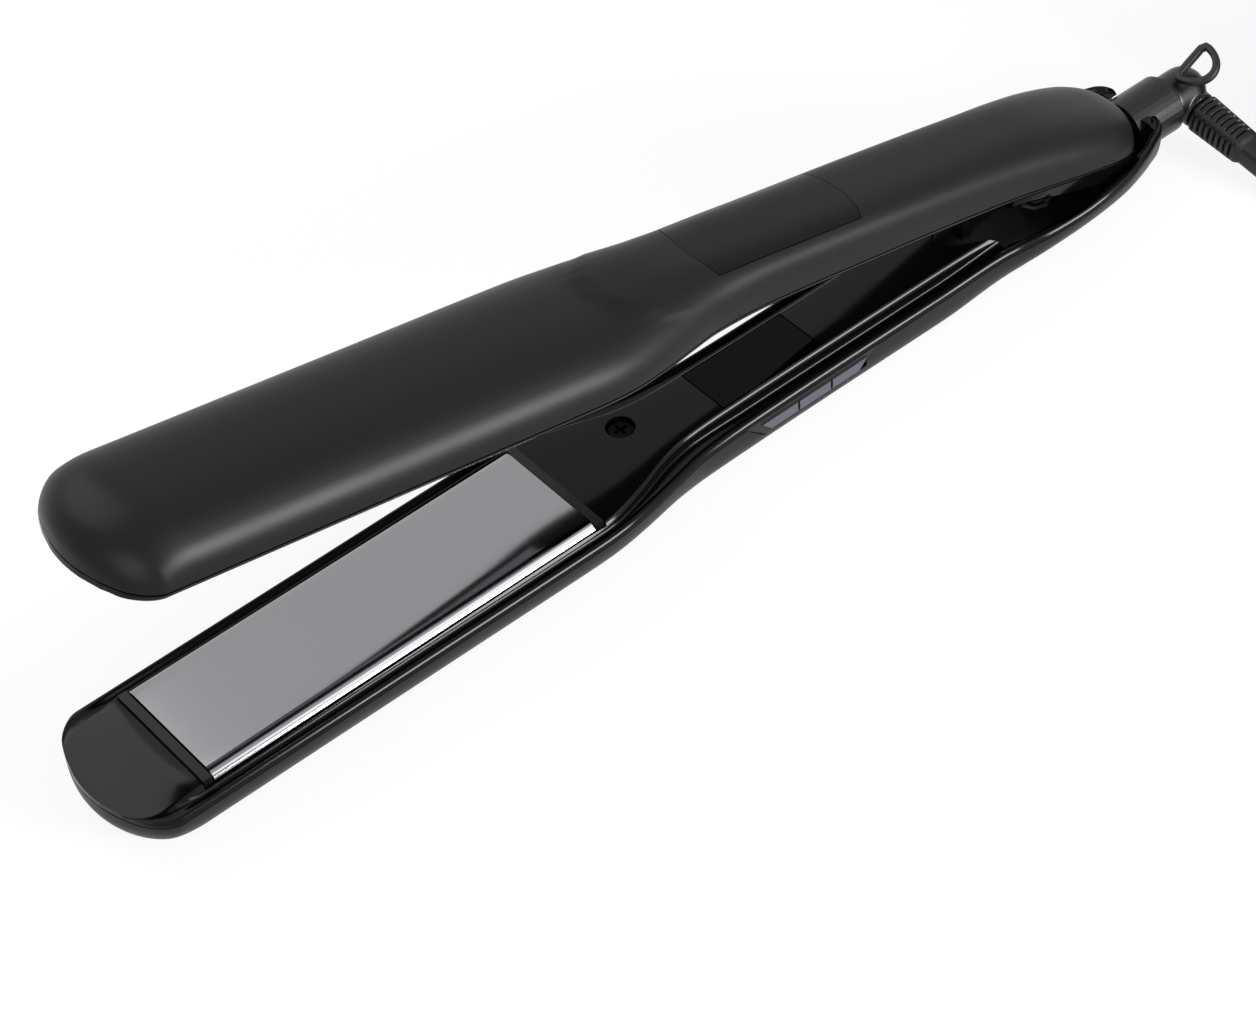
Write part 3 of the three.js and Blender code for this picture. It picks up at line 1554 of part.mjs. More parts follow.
closedUpper.add(
  piece('upper_shell', upperShell(), 'mattePlastic'),
  piece('upper_liner', upperLiner(), 'glossPlastic'),
  ...heatedPlate('upper'),
  ...floatPads('upper'),
  piece('upper_inlay', inlaySolid(), 'glossPlastic'),
  piece('upper_liner_screw', screwSolid(recessX, -recessY), 'steel'),
  piece('thermal_fuse', fuseSolid(), 'steel'),
  piece('upper_lead', upperLead(), 'cordRubber'),
  piece('near_hinge_bush', bushSolid(-1), 'brass'),
  piece('far_hinge_bush', bushSolid(1), 'brass'),
);

const hankLength = new THREE.CatmullRomCurve3([hankStart, ...hankPoints, hankEnd]).getLength();
const freeLength = cordCurve.getLength() + tailCurve.getLength();
console.log(`cord length ${(hankLength + freeLength).toFixed(0)} mm`);
console.log(`least gap between the hank's turns ${hankGap().toFixed(2)} mm`);

export default group;
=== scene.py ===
# Hair straightener lying open: the looks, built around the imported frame, which is in metres.
# Sizes are in mm and angles in degrees, unless a note says otherwise.
import math

import bmesh
import bpy
from mathutils import Matrix, Vector


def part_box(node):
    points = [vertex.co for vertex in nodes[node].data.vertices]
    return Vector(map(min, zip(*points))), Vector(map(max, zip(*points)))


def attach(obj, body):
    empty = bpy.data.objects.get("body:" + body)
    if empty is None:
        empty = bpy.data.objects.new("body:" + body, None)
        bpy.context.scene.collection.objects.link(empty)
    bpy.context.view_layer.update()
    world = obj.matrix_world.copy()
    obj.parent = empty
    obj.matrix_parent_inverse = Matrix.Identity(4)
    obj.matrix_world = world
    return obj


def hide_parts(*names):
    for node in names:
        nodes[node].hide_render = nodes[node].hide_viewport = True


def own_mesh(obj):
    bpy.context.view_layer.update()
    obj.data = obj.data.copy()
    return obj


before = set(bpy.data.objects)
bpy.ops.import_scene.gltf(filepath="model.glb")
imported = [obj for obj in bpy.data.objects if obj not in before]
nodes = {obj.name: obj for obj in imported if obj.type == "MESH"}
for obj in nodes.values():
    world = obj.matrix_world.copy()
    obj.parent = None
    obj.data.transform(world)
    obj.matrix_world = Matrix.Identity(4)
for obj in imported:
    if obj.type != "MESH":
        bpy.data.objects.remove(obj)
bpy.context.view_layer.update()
scene = bpy.context.scene
print("frame loaded:", len(nodes), "nodes")


# small helpers
def mm(*values):
    return Vector([value / 1000 for value in values])


def linear(hexCode):  # sRGB hex to the linear colour that shaders work in
    channels = [int(hexCode[i:i + 2], 16) / 255 for i in (1, 3, 5)]
    return tuple(
        [c / 12.92 if c <= 0.04045 else ((c + 0.055) / 1.055) ** 2.4 for c in channels] + [1.0]
    )


def addNode(tree, kind, settings=None, **links):
    node = tree.nodes.new(kind)
    for key, value in (settings or {}).items():
        if isinstance(key, str) and hasattr(node, key):
            setattr(node, key, value)
        else:
            node.inputs[key].default_value = value
    for socket, source in links.items():
        tree.links.new(source, node.inputs[socket.replace("_", " ")])
    return node


def newObject(name, data):
    obj = bpy.data.objects.new(name, data)
    scene.collection.objects.link(obj)
    return obj


xAxis, yAxis, zAxis = Vector((1, 0, 0)), Vector((0, 1, 0)), Vector((0, 0, 1))
toMetres = Matrix.Scale(0.001, 4)


# camera, at the photograph's viewing angle
cameraSet = {
    "azimuth": -37.74, "elevation": 46.57, "roll": -3.82, "place": mm(-259.6, -359.2, 473.35),
    "lens": 96.68, "sensorWidth": 36,
}


def makeCamera(s):
    az, el, roll = (math.radians(s[k]) for k in ("azimuth", "elevation", "roll"))
    right = Vector((math.cos(az), math.sin(az), 0))
    back = Vector((math.cos(el) * math.sin(az), -math.cos(el) * math.cos(az), math.sin(el)))
    up = back.cross(right)
    across = right * math.cos(roll) + up * math.sin(roll)
    upward = up * math.cos(roll) - right * math.sin(roll)
    camera = newObject("camera", bpy.data.cameras.new("camera"))
    camera.data.lens, camera.data.sensor_width = s["lens"], s["sensorWidth"]
    camera.data.sensor_fit = "HORIZONTAL"
    turn = Matrix((across, upward, back)).transposed().to_4x4()
    camera.matrix_world = Matrix.Translation(s["place"]) @ turn
    scene.camera = camera


makeCamera(cameraSet)
print("camera placed")

# cord: one line from the strain relief through the tied hank to the plug
cordSet = {
    "diameter": 0.0052,  # metres
    "exit": (173.68, -25.779, 4.867),
    "lead": [  # listed points, from the exit
        (0, 0, 0), (0, -2.6, -0.41), (0, -5.2, -0.82), (0.07, -7.9, -1.1), (0.4, -10.26, -1.3),
        (1.58, -14.16, -1.5), (3.51, -17.76, -1.6), (6.09, -20.91, -1.6), (9.24, -23.49, -1.53),
        (12.84, -25.42, -1.42), (16.74, -26.6, -1.32), (19.1, -26.93, -1.28), (21.8, -27, -1.27),
        (26.4, -27, -1.27), (32.4, -27, -1.27),
    ],
    "hankMiddle": (230.18, -25.179), "hankBase": 3.6, "hankRun": 26.5, "runShare": 1 / 6,
    "waistDepth": 1.6, "foldRadius": 15.8, "outerRadius": 27.6, "pitch": 5.9, "layers": 4,
    "turnsPerLayer": 2, "stepsPerTurn": 48, "plugLevel": 33.2,
    "tail": [  # from the hank's middle: two lengths and a share of the way up
        (-5.6, -27.4, 0), (-2.2, -26.7, 0), (1.2, -26.35, 0), (4.6, -26.6, 0.01),
        (8.8, -27.65, 0.03), (13.25, -28, 0.07), (17.5, -27.6, 0.13), (21.7, -26.3, 0.22),
        (28.8, -21.6, 0.4), (33.6, -14.4, 0.6), (35.25, -6, 0.79), (33.6, 2.4, 0.93),
        (28.8, 9.6, 0.99), (21.7, 14.3, 1), (13.25, 16, 1), (9.8, 16, 1),
    ],
    "sides": 14,
    "stepsBetween": 4,  # from one listed point to the next
}


def ease(t):
    return t * t * (3 - 2 * t)


def aroundLoop(s, share, radius):  # a run, a fold, a run and a fold, both runs drawn in at the waist
    half, side = s["hankRun"] / 2, 1 if share < 0.5 else -1
    within = share if share < 0.5 else share - 0.5
    along = within / s["runShare"]
    if along < 1:
        drawn = radius - s["waistDepth"] * (1 - math.cos(2 * math.pi * along)) / 2
        return side * (s["hankRun"] * along - half), -side * drawn
    angle = math.pi * ((within - s["runShare"]) / (0.5 - s["runShare"]) - 0.5)
    return side * (half + radius * math.cos(angle)), side * radius * math.sin(angle)


def hankPoint(s, turned):
    layer = min(int(turned / s["turnsPerLayer"]), s["layers"] - 1)
    within = turned - layer * s["turnsPerLayer"]
    held = s["runShare"] if layer else 0
    wound = max(within - held, 0) * s["turnsPerLayer"] / (s["turnsPerLayer"] - held)
    if layer % 2 == 0:
        radius = s["outerRadius"] - s["pitch"] * wound
    else:
        radius = s["foldRadius"] + s["pitch"] * wound
    climb = 1 - ease(within / s["runShare"]) if layer and within < s["runShare"] else 0
    x, y = aroundLoop(s, turned - int(turned), radius)
    middleX, middleY = s["hankMiddle"]
    return mm(middleX + x, middleY + y, s["hankBase"] + (layer - climb) * s["pitch"])


def throughPoints(points, count):  # a smooth line through the points
    ends = [points[0] * 2 - points[1]] + points + [points[-1] * 2 - points[-2]]
    line = []
    for i in range(len(points) - 1):
        a, b, c, d = ends[i:i + 4]
        for j in range(count):
            t = j / count
            line.append(
                (b * 2 + (c - a) * t + (a * 2 - b * 5 + c * 4 - d) * t ** 2
                 + (b * 3 - a - c * 3 + d) * t ** 3) / 2
            )
    return line + [points[-1]]


def cordLine(s):
    turns = s["layers"] * s["turnsPerLayer"]
    steps = turns * s["stepsPerTurn"]
    hank = [hankPoint(s, turns * i / steps) for i in range(steps + 1)]
    stub = Vector((s["diameter"], 0, 0))
    lead = [mm(*[a + b for a, b in zip(s["exit"], p)]) for p in s["lead"]]
    top = hank[-1].z * 1000
    middleX, middleY = s["hankMiddle"]
    tail = [mm(middleX + x, middleY + y, top + up * (s["plugLevel"] - top)) for x, y, up in s["tail"]]
    return (
        throughPoints(lead + [hank[0] - stub, hank[0]], s["stepsBetween"])[:-1]
        + hank
        + throughPoints([hank[-1], hank[-1] + stub] + tail, s["stepsBetween"])[1:]
    )


# closed solids, and what makes one of them a piece of the frame
def solidFrom(body):  # what the bmesh holds, its faces turned outward
    bmesh.ops.recalc_face_normals(body, faces=body.faces)
    mesh = bpy.data.meshes.new("solid")
    body.to_mesh(mesh)
    body.free()
    return newObject("solid", mesh)


def ringSolid(rings, closed=False):  # through rings of points, with flat ends or closed on itself
    body = bmesh.new()
    verts = [[body.verts.new(p) for p in ring] for ring in rings]
    count = len(verts[0])
    pairs = list(zip(verts, verts[1:])) + ([(verts[-1], verts[0])] if closed else [])
    for first, second in pairs:
        for j in range(count):
            k = (j + 1) % count
            body.faces.new((first[j], first[k], second[k], second[j]))
    if not closed:
        body.faces.new(reversed(verts[0]))
        body.faces.new(verts[-1])
    return solidFrom(body)


def tube(line, radius, sides):  # of even roundness along a line of points
    ahead = line[1] - line[0]
    side, rings = yAxis if abs(ahead.x) > abs(ahead.y) else xAxis, []
    for i, place in enumerate(line):
        along = (line[min(i + 1, len(line) - 1)] - line[max(i - 1, 0)]).normalized()
        side = (side - along * side.dot(along)).normalized()
        rise = along.cross(side)
        turns = [2 * math.pi * j / sides for j in range(sides)]
        rings.append([place + (side * math.cos(t) + rise * math.sin(t)) * radius for t in turns])
    return ringSolid(rings)


made = {}  # pieces by name


def register(obj, name, body, slot, *replaced):  # a piece of the frame, in place of CAD nodes
    obj.name = obj.data.name = name
    made[name] = obj
    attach(obj, body)
    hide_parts(*replaced)
    print("made", name, len(obj.data.polygons), "faces")
    return obj


powerCordPath = cordLine(cordSet)
powerCord = register(
    tube(powerCordPath, cordSet["diameter"] / 2, cordSet["sides"]),
    "power_cord", "swivel", "cord_rubber", "cord", "cord_hank", "cord_tail",
)

# arms: smooth shells and covers in mm from the closed arms' tips, which settle() moves into place
armSet = {
    "length": 264.8, "upperInset": 8.8, "halfWidth": 17.2, "depth": 13.6, "wall": 1.8, "gap": 0.3,
    "underside": -13.25, "tipCorner": 4.5, "tipSlope": 12, "tipDrop": 8.5, "tailCorner": 3,
    "tipBow": 6.2, "tipAdvance": 0.6, "tailBow": 0.6, "upperTailBow": 9, "bowReach": 40,
    "originX": 105.92, "hingeX": 254.5, "hingeDrop": 3.3, "openAngle": 11.6,
    "pitch": 2, "tipSteps": 22, "tailSteps": 8, "across": 60,  # stations along, steps round a section
    "beyond": 20,  # by how much cutters overrun
    "weld": 0.0001,  # points nearer than this are one
}
gap, beyond = armSet["gap"], armSet["beyond"]
# Each row has its place, width, depth, lip, squareness and deck. The squareness is a power, and the
# others are shares: of the arm's length, half-width, depth, depth again and half-width again.
shareColumns = {"width": 1, "depth": 2, "lip": 3, "power": 4, "deck": 5}
lowerShares = [
    (0, 0.988, 1, 0.132, 2.65, 0.808), (0.23, 0.997, 1, 0.132, 2.65, 0.808),
    (0.375, 1.006, 1, 0.132, 2.65, 0.808), (0.415, 0.99, 1, 0.14, 2.65, 0.79),
    (0.45, 0.907, 1, 0.155, 2.65, 0.657), (0.482, 0.797, 1, 0.176, 2.8, 0.488),
    (0.51, 0.71, 1, 0.191, 3.4, 0.413), (0.565, 0.657, 1, 0.22, 4, 0.39),
    (0.755, 0.651, 1, 0.22, 4, 0.384), (0.815, 0.69, 0.926, 0.147, 3.2, 0.4),
    (0.86, 0.84, 0.809, 0.044, 2.6, 0.46), (0.9, 0.9, 0.735, -0.044, 2.4, 0.46),
    (0.94, 0.86, 0.72, -0.125, 2.4, 0.46), (0.966, 0.75, 0.735, -0.165, 2.5, 0.46),
    (1, 0.57, 0.745, -0.18, 2.8, 0.46),
]
upperShares = [
    (0, 0.988, 1, 0.132, 2.65, 0.808), (0.24, 0.997, 1, 0.132, 2.65, 0.808),
    (0.389, 1.006, 1.005, 0.132, 2.65, 0.808), (0.43, 0.99, 1, 0.14, 2.65, 0.79),
    (0.466, 0.907, 1.045, 0.155, 2.65, 0.657), (0.5, 0.797, 1.072, 0.176, 2.8, 0.488),
    (0.529, 0.71, 1.07, 0.191, 3.4, 0.413), (0.586, 0.657, 1.06, 0.22, 4, 0.39),
    (0.7, 0.651, 1.03, 0.22, 4, 0.384), (0.785, 0.655, 1.005, 0.215, 3.8, 0.384),
    (0.845, 0.67, 0.985, 0.2, 3.4, 0.4), (0.89, 0.7, 0.96, 0.176, 3.1, 0.4),
    (0.934, 0.722, 0.87, 0.147, 3, 0.4), (0.973, 0.72, 0.73, 0.118, 2.9, 0.4),
    (1, 0.68, 0.6, 0.103, 2.8, 0.4),
]
thumbPadSet = {
    "start": 111.5, "nose": 10, "length": 25, "halfWidth": 12, "height": 0.6, "edgeShare": 0.05,
}
lowerArm = {
    "shares": lowerShares, "length": armSet["length"], "bow": armSet["tailBow"],
    "floor": armSet["underside"], "side": 1,
}
upperArm = {
    "shares": upperShares, "length": armSet["length"] - armSet["upperInset"],
    "bow": armSet["upperTailBow"], "floor": -beyond, "side": -1,
}


def span(low, high, count):
    return [low + (high - low) * i / count for i in range(count + 1)]


def shareAt(table, column, along):
    i = 0
    while i < len(table) - 2 and along > table[i + 1][0]:
        i += 1

    def slope(j):
        a, mid, b = table[max(j - 1, 0)], table[j], table[min(j + 1, len(table) - 1)]
        if (mid[column] - a[column]) * (b[column] - mid[column]) <= 0:
            return 0
        return (b[column] - a[column]) / (b[0] - a[0])

    start, end = table[i], table[i + 1]
    reach = end[0] - start[0]
    t = (along - start[0]) / reach
    level = start[column] * (1 - ease(t)) + end[column] * ease(t)
    return level + reach * (slope(i) * t * (1 - t) ** 2 - slope(i + 1) * t * t * (1 - t))


def endRounding(distance, length, drop):  # what a rounded end takes off
    if distance >= length:
        return 0
    return drop * (1 - math.sqrt(1 - (1 - max(distance, 0) / length) ** 2))


def sectionAt(arm, x):
    s, c = armSet, coverSet
    share = {
        name: shareAt(arm["shares"], column, x / arm["length"]) for name, column in shareColumns.items()
    }
    tip = endRounding(x, s["tipCorner"], s["tipCorner"])
    slope = endRounding(x, s["tipSlope"], s["tipDrop"])
    tail = endRounding(arm["length"] - x, s["tailCorner"], s["tailCorner"])
    lip = s["depth"] * share["lip"]
    fromTip = min(x / s["tipSlope"], 1) ** 2
    deckLevel = min(c["deckDrop"], lip + c["trough"] / 2)
    return {
        "width": s["halfWidth"] * share["width"] - tip - tail,
        "depth": s["depth"] * share["depth"] - slope - tail,
        "lip": lip,
        "power": share["power"],
        "deck": s["halfWidth"] * share["deck"] - tip,
        "deckDrop": lip + (deckLevel - lip) * fromTip,
        "trough": lip + c["tipTrough"] + (c["trough"] - c["tipTrough"]) * fromTip,
    }


def bowed(arm, x, y, z):  # both ends are arcs seen from above
    s = armSet
    side = (y / s["halfWidth"]) ** 2
    tip = (s["tipBow"] * side - s["tipAdvance"]) * max(1 - x / s["bowReach"], 0) ** 2
    tail = arm["bow"] * side * max(1 - (arm["length"] - x) / s["bowReach"], 0) ** 2
    return Vector((x + tip - tail, y, z))


def stationsOf(arm, inset=0, pitch=armSet["pitch"]):
    s, length = armSet, arm["length"]
    tipTurns, tailTurns = span(0, math.pi / 2, s["tipSteps"]), span(math.pi / 2, 0, s["tailSteps"])
    tip = [s["tipSlope"] * (1 - math.cos(turn)) for turn in tipTurns]
    middle = span(s["tipSlope"], length - s["tailCorner"], int(length / pitch))
    tail = [length - s["tailCorner"] * (1 - math.cos(turn)) for turn in tailTurns]
    inside = [x for x in tip + middle[1:-1] + tail if inset < x < length - inset]
    return [inset] + inside + [length - inset]


def thumbRaise(x, y, width):
    s = thumbPadSet
    if not 0 < x - s["start"] < s["length"]:
        return 0
    fore = min((x - s["start"]) / s["nose"], 1)
    inside = fore - (y / min(s["halfWidth"], width)) ** 2
    fade = 1 - (x - s["start"]) / s["length"]
    return s["height"] * fade * ease(min(max(inside / s["edgeShare"], 0), 1))


def skinRow(arm, x, wall, count):  # a section's skin from its parting line down and round
    s, c = sectionAt(arm, x), coverSet
    depth = s["depth"] - wall - s["lip"]
    top = min((c["lipHeight"] + gap / 2) / depth, 1)
    start = math.asin(top ** (s["power"] / 2))
    row = []
    for turn in span(start, math.pi - start, count):
        across = math.cos(turn)
        y = (s["width"] - wall) * math.copysign(abs(across) ** (2 / s["power"]), across)
        z = -(s["lip"] + depth * math.sin(turn) ** (2 / s["power"]))
        if arm is upperArm and not wall:
            z -= thumbRaise(x, y, s["width"])
        row.append(bowed(arm, x, y, max(z, arm["floor"] + wall)))
    return row


def solidBetween(uppers, lowers):  # a closed solid between two grids of points
    body = bmesh.new()
    top, under = ([[body.verts.new(p) for p in row] for row in grid] for grid in (uppers, lowers))
    rows, columns = len(top), len(top[0])
    for i in range(rows - 1):
        for j in range(columns - 1):
            body.faces.new((top[i][j], top[i][j + 1], top[i + 1][j + 1], top[i + 1][j]))
            body.faces.new((under[i][j], under[i + 1][j], under[i + 1][j + 1], under[i][j + 1]))
    rim = [(0, j) for j in range(columns - 1)] + [(i, columns - 1) for i in range(rows - 1)]
    rim += [(rows - 1, j) for j in range(columns - 1, 0, -1)] + [(i, 0) for i in range(rows - 1, 0, -1)]
    for (a, b), (c, d) in zip(rim, rim[1:] + rim[:1]):
        body.faces.new((top[a][b], top[c][d], under[c][d], under[a][b]))
    bmesh.ops.remove_doubles(body, verts=body.verts, dist=armSet["weld"])
    return solidFrom(body)


def block(low, high):
    x0, y0, z0 = low
    x1, y1, z1 = high
    rows = [[(x, y0, z), (x, y1, z)] for z in (z1, z0) for x in (x0, x1)]
    return solidBetween(rows[:2], rows[2:])


def prism(outline, y0, y1):  # an outline in X and Z, carried along Y
    return ringSolid([[(x, y, z) for x, z in outline] for y in (y0, y1)])


rodSides = {"small": 24, "medium": 32, "plain": 48, "large": 64}


def rod(start, end, radius, size="plain"):
    return tube([Vector(start), Vector(end)], radius, rodSides[size])


def baked(obj):  # its mesh becomes what the modifiers make of it
    graph = bpy.context.evaluated_depsgraph_get()
    mesh = bpy.data.meshes.new_from_object(obj.evaluated_get(graph))
    obj.modifiers.clear()
    obj.data = mesh
    return obj


def combine(operation, base, *others):  # one solid from all, and the others are used up
    for other in others:
        change = base.modifiers.new("combine", "BOOLEAN")
        change.operation, change.solver, change.object = operation, "MANIFOLD", other
        baked(base)
        bpy.data.objects.remove(other)
    return base


def cut(base, *others):
    return combine("DIFFERENCE", base, *others)


def join(base, *others):
    return combine("UNION", base, *others)


def localBox(node):  # a node's box in the lower arm's own millimetres
    shift = Vector((armSet["originX"], 0, armSet["underside"]))
    return [Vector(corner) * 1000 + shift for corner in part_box(node)]


def armInside(arm, wall, place=Vector):  # the room within its walls, in steps twice as long
    stations = stationsOf(arm, wall, 2 * armSet["pitch"])
    rows = [skinRow(arm, x, wall, armSet["across"] // 2) for x in stations]
    raised = [[place(Vector((p.x, p.y, beyond))) for p in row] for row in rows]
    return solidBetween(raised, [[place(p) for p in row] for row in rows])


screwSet = {"x": 126.596, "y": 3.6, "boss": 2.7, "shank": 1.2, "recess": 3, "recessDepth": 2.4}


def armShell(arm):
    rows = [skinRow(arm, x, 0, armSet["across"]) for x in stationsOf(arm)]
    lids = [[Vector((p.x, p.y, row[0].z)) for p in row] for row in rows]
    shell = cut(solidBetween(lids, rows), armInside(arm, armSet["wall"]))
    s, x, y = sectionAt(arm, screwSet["x"]), screwSet["x"], screwSet["y"] * arm["side"]
    floor = -(s["depth"] - armSet["wall"] / 2)
    top = -(s["lip"] + coverSet["lipHeight"] + coverSet["skirt"])
    join(shell, rod((x, y, floor), (x, y, top), screwSet["boss"], "small"))
    bore = screwSet["shank"] + gap
    return cut(shell, rod((x, y, floor + armSet["wall"]), (x, y, beyond), bore, "small"))


hingeSet = {
    "pin": 1.2, "bush": 0.6, "barrel": 3.4, "barrelInner": 5, "ear": 2.2, "earBefore": 36, "earNose": 8,
    "earHalfWidth": 11.3, "earReach": 8.2, "boss": 3.1, "bossThickness": 2, "springBefore": 18.5,
    "slotAhead": 0.9, "earSteps": 16, "earAcross": 3, "slotSteps": 8,
    "noseTurn": 0.12,  # radians, where the nose's stations begin
    "restShare": 1.2,  # of the nose, where the even stations begin
}
keyPanelSet = {
    "foreSlant": 5.1, "backSlant": 9, "thickness": 0.8,
    "gapShares": (1.2, 0.6, 0.6, 1.6),  # of the gap, sideways at the slanted corners
}
collarSet = {"radius": 6.4, "inset": 4, "drop": 2.8}


def collarCut():
    s, end = collarSet, armSet["length"]
    start, z = end - s["inset"] - gap, -s["drop"]
    return rod((start, 0, z), (end + beyond, 0, z), s["radius"] + gap, "large")


def hingeBoss(side):
    s, x, z = hingeSet, armSet["hingeX"], -armSet["hingeDrop"]
    outer = side * (s["barrelInner"] - gap)
    low, high = sorted((outer, outer - side * s["bossThickness"]))
    floor = -sectionAt(lowerArm, x)["depth"] + armSet["wall"] / 2
    post = block((x - s["boss"], low, floor), (x + s["boss"], high, z))
    join(post, rod((x, low, z), (x, high, z), s["boss"], "medium"))
    return cut(post, rod((x, -beyond, z), (x, beyond, z), s["pin"] + gap, "small"))


def lowerShell():
    shell = join(armShell(lowerArm), hingeBoss(-1), hingeBoss(1))
    (x0, y0, z0), (x1, _, z1) = localBox("key_bezel")
    s = keyPanelSet
    foreTop, foreLow, backLow, backTop = (gap * share for share in s["gapShares"])
    outline = [
        (x0 - foreTop, z1 + gap), (x0 + s["foreSlant"] - foreLow, z0 - gap),
        (x1 - s["backSlant"] + backLow, z0 - gap), (x1 + backTop, z1 + gap),
    ]
    inlet = prism(outline, -armSet["halfWidth"], y0 + s["thickness"])
    front, rear = localBox("front_key"), localBox("rear_key")
    slot = block(
        (front[0].x - gap, -armSet["halfWidth"], front[0].z - gap),
        (rear[1].x + gap, y0 / 2, front[1].z + gap),
    )
    return cut(shell, inlet, slot, collarCut())


coverSet = {
    "rim": 2, "lipHeight": 1.3, "skirt": 0.9, "trough": 0.8, "tipTrough": 0.1, "deckDrop": 1,
    "deckWall": 2.6, "deckEdge": 0.7, "softness": 0.42, "plateOpening": (15.3, 108.3), "opening": 14,
    "cavityStart": 206.8, "cavityEnd": 262.2, "cavityArch": 16.5, "cavityWidth": 9.7, "ledge": 1.3,
    "archRoot": 0.08,  # the root of the share of cavityArch at which its stations begin
    "archPower": 0.6,
    "restShare": 1.1,  # of cavityArch, where the even stations begin
    "cornerSteps": 3, "deckSteps": 12, "pocketSteps": 40, "archSteps": 20, "cavitySteps": 24,
}


def halfWidthAt(s, level, wall):
    down = min(max((-level - s["lip"]) / (s["depth"] - wall - s["lip"]), 0), 1)
    return (s["width"] - wall) * (1 - down ** s["power"]) ** (1 / s["power"])


def softened(points, reach, count):  # a line with its corners rounded
    line = [Vector(points[0])]
    for a, b, c in zip(points, points[1:], points[2:]):
        a, b, c = Vector(a), Vector(b), Vector(c)
        back = a.lerp(b, 1 - min(reach / max((b - a).length, armSet["weld"]), 0.5))
        ahead = b.lerp(c, min(reach / max((c - b).length, armSet["weld"]), 0.5))
        line += [back.lerp(b, t).lerp(b.lerp(ahead, t), t) for t in span(0, 1, count)]
    return line + [Vector(points[-1])]


def coverRows(arm, x):
    s, c = sectionAt(arm, x), coverSet
    parting = -(s["lip"] + c["lipHeight"]) + gap / 2
    outer = halfWidthAt(s, parting, 0)
    third, inner = c["lipHeight"] / 3, s["width"] - c["rim"]
    deck = min(s["deck"], inner - 2 * c["deckEdge"])
    edgeDrop = min(c["deckEdge"], (s["trough"] - s["deckDrop"]) / 2)
    half = [
        (outer, parting), (s["width"], -(s["lip"] + 2 * third)), (s["width"] - third, -s["lip"]),
        (s["width"] - c["rim"] / 2, -s["lip"]), (inner, -s["trough"]),
        (deck + c["deckEdge"], -s["trough"]), (deck + c["deckEdge"] / 3, -(s["deckDrop"] + edgeDrop)),
        (deck - c["deckEdge"] / 3, -s["deckDrop"]), (deck / 2, -s["deckDrop"]),
    ]
    near = softened(half, c["softness"], c["cornerSteps"])
    middle = [Vector((near[-1].x * t, near[-1].y)) for t in span(1, -1, c["deckSteps"])[1:-1]]
    line = near + middle + [Vector((-p.x, p.y)) for p in reversed(near)]
    top = [bowed(arm, x, p.x, p.y) for p in line]
    under = [bowed(arm, x, max(min(p.x, outer), -outer), parting) for p in line]
    return top, under


def planCutter(stations, halfWidth, low, high):  # upright walls round a plan that both sides share
    halves = [(x, halfWidth(x)) for x in stations]
    tops, unders = ([[(x, y, z), (x, -y, z)] for x, y in halves] for z in (high, low))
    return solidBetween(tops, unders)


def armCover(arm):
    c, wall = coverSet, armSet["wall"]
    tops, unders = zip(*[coverRows(arm, x) for x in stationsOf(arm)])
    cover = solidBetween(tops, unders)
    stepTops, stepUnders = [], []
    for x in stationsOf(arm, wall + 2 * gap, 2 * armSet["pitch"]):
        s = sectionAt(arm, x)
        parting = -(s["lip"] + c["lipHeight"]) + gap / 2
        half = halfWidthAt(s, parting - c["skirt"], wall) - 2 * gap
        stepTops.append([bowed(arm, x, y, parting + gap / 2) for y in (half, -half)])
        stepUnders.append([bowed(arm, x, y, parting - c["skirt"]) for y in (half, -half)])
    join(cover, solidBetween(stepTops, stepUnders))
    start, end = c["plateOpening"]
    opening = block((start, -c["opening"], -beyond), (end, c["opening"], beyond))
    pocket = planCutter(
        span(end - gap + 2 * wall, c["cavityStart"] - 2 * wall, c["pocketSteps"]),
        lambda x: sectionAt(arm, x)["deck"] - wall, -beyond, -(c["deckDrop"] + c["deckWall"]),
    )
    x, y = screwSet["x"], screwSet["y"] * arm["side"]
    well = rod((x, y, -(c["deckDrop"] + screwSet["recessDepth"])), (x, y, beyond), screwSet["recess"])
    bore = rod((x, y, -beyond), (x, y, beyond), screwSet["shank"] + gap, "small")
    return cut(cover, opening, pocket, well, bore)


def earRow(x):  # how far an ear reaches across, inward and outward, and up and down
    s, hinge = hingeSet, armSet["hingeX"]
    start = hinge - s["earBefore"]
    upper = sectionAt(upperArm, min(x, hinge - armSet["tailCorner"]))
    lower = sectionAt(lowerArm, x)
    nose = math.sqrt(max(1 - (1 - min((x - start) / s["earNose"], 1)) ** 2, 0))
    widest = min(s["earHalfWidth"], lower["width"] - coverSet["rim"] - 2 * gap)
    outer = widest - (1 - nose) * s["ear"] / 3
    root = -(upper["lip"] + coverSet["lipHeight"] - gap)
    behind = min(max((x - hinge + 2 * s["barrel"]) / (2 * s["barrel"]), 0), 1)
    top = root + (armSet["hingeDrop"] - s["barrel"] - root) * behind
    low = nose * (s["earReach"] + (armSet["hingeDrop"] + s["barrel"] - s["earReach"]) * behind)
    return outer - s["ear"], outer, top, low


def earSlot(side):
    s, hinge = hingeSet, armSet["hingeX"]
    start, end = hinge - s["earBefore"], hinge - s["springBefore"]
    fore = start + gap
    tops, unders = [], []
    for x in [start - s["slotAhead"], fore] + span(start + s["earNose"] / 2, end, s["slotSteps"]):
        inner, outer = earRow(max(x, fore))[:2]
        edges = [side * (inner - gap), side * (outer + gap)]
        tops.append([(x, y, beyond) for y in edges])
        unders.append([(x, y, -beyond) for y in edges])
    return solidBetween(tops, unders)


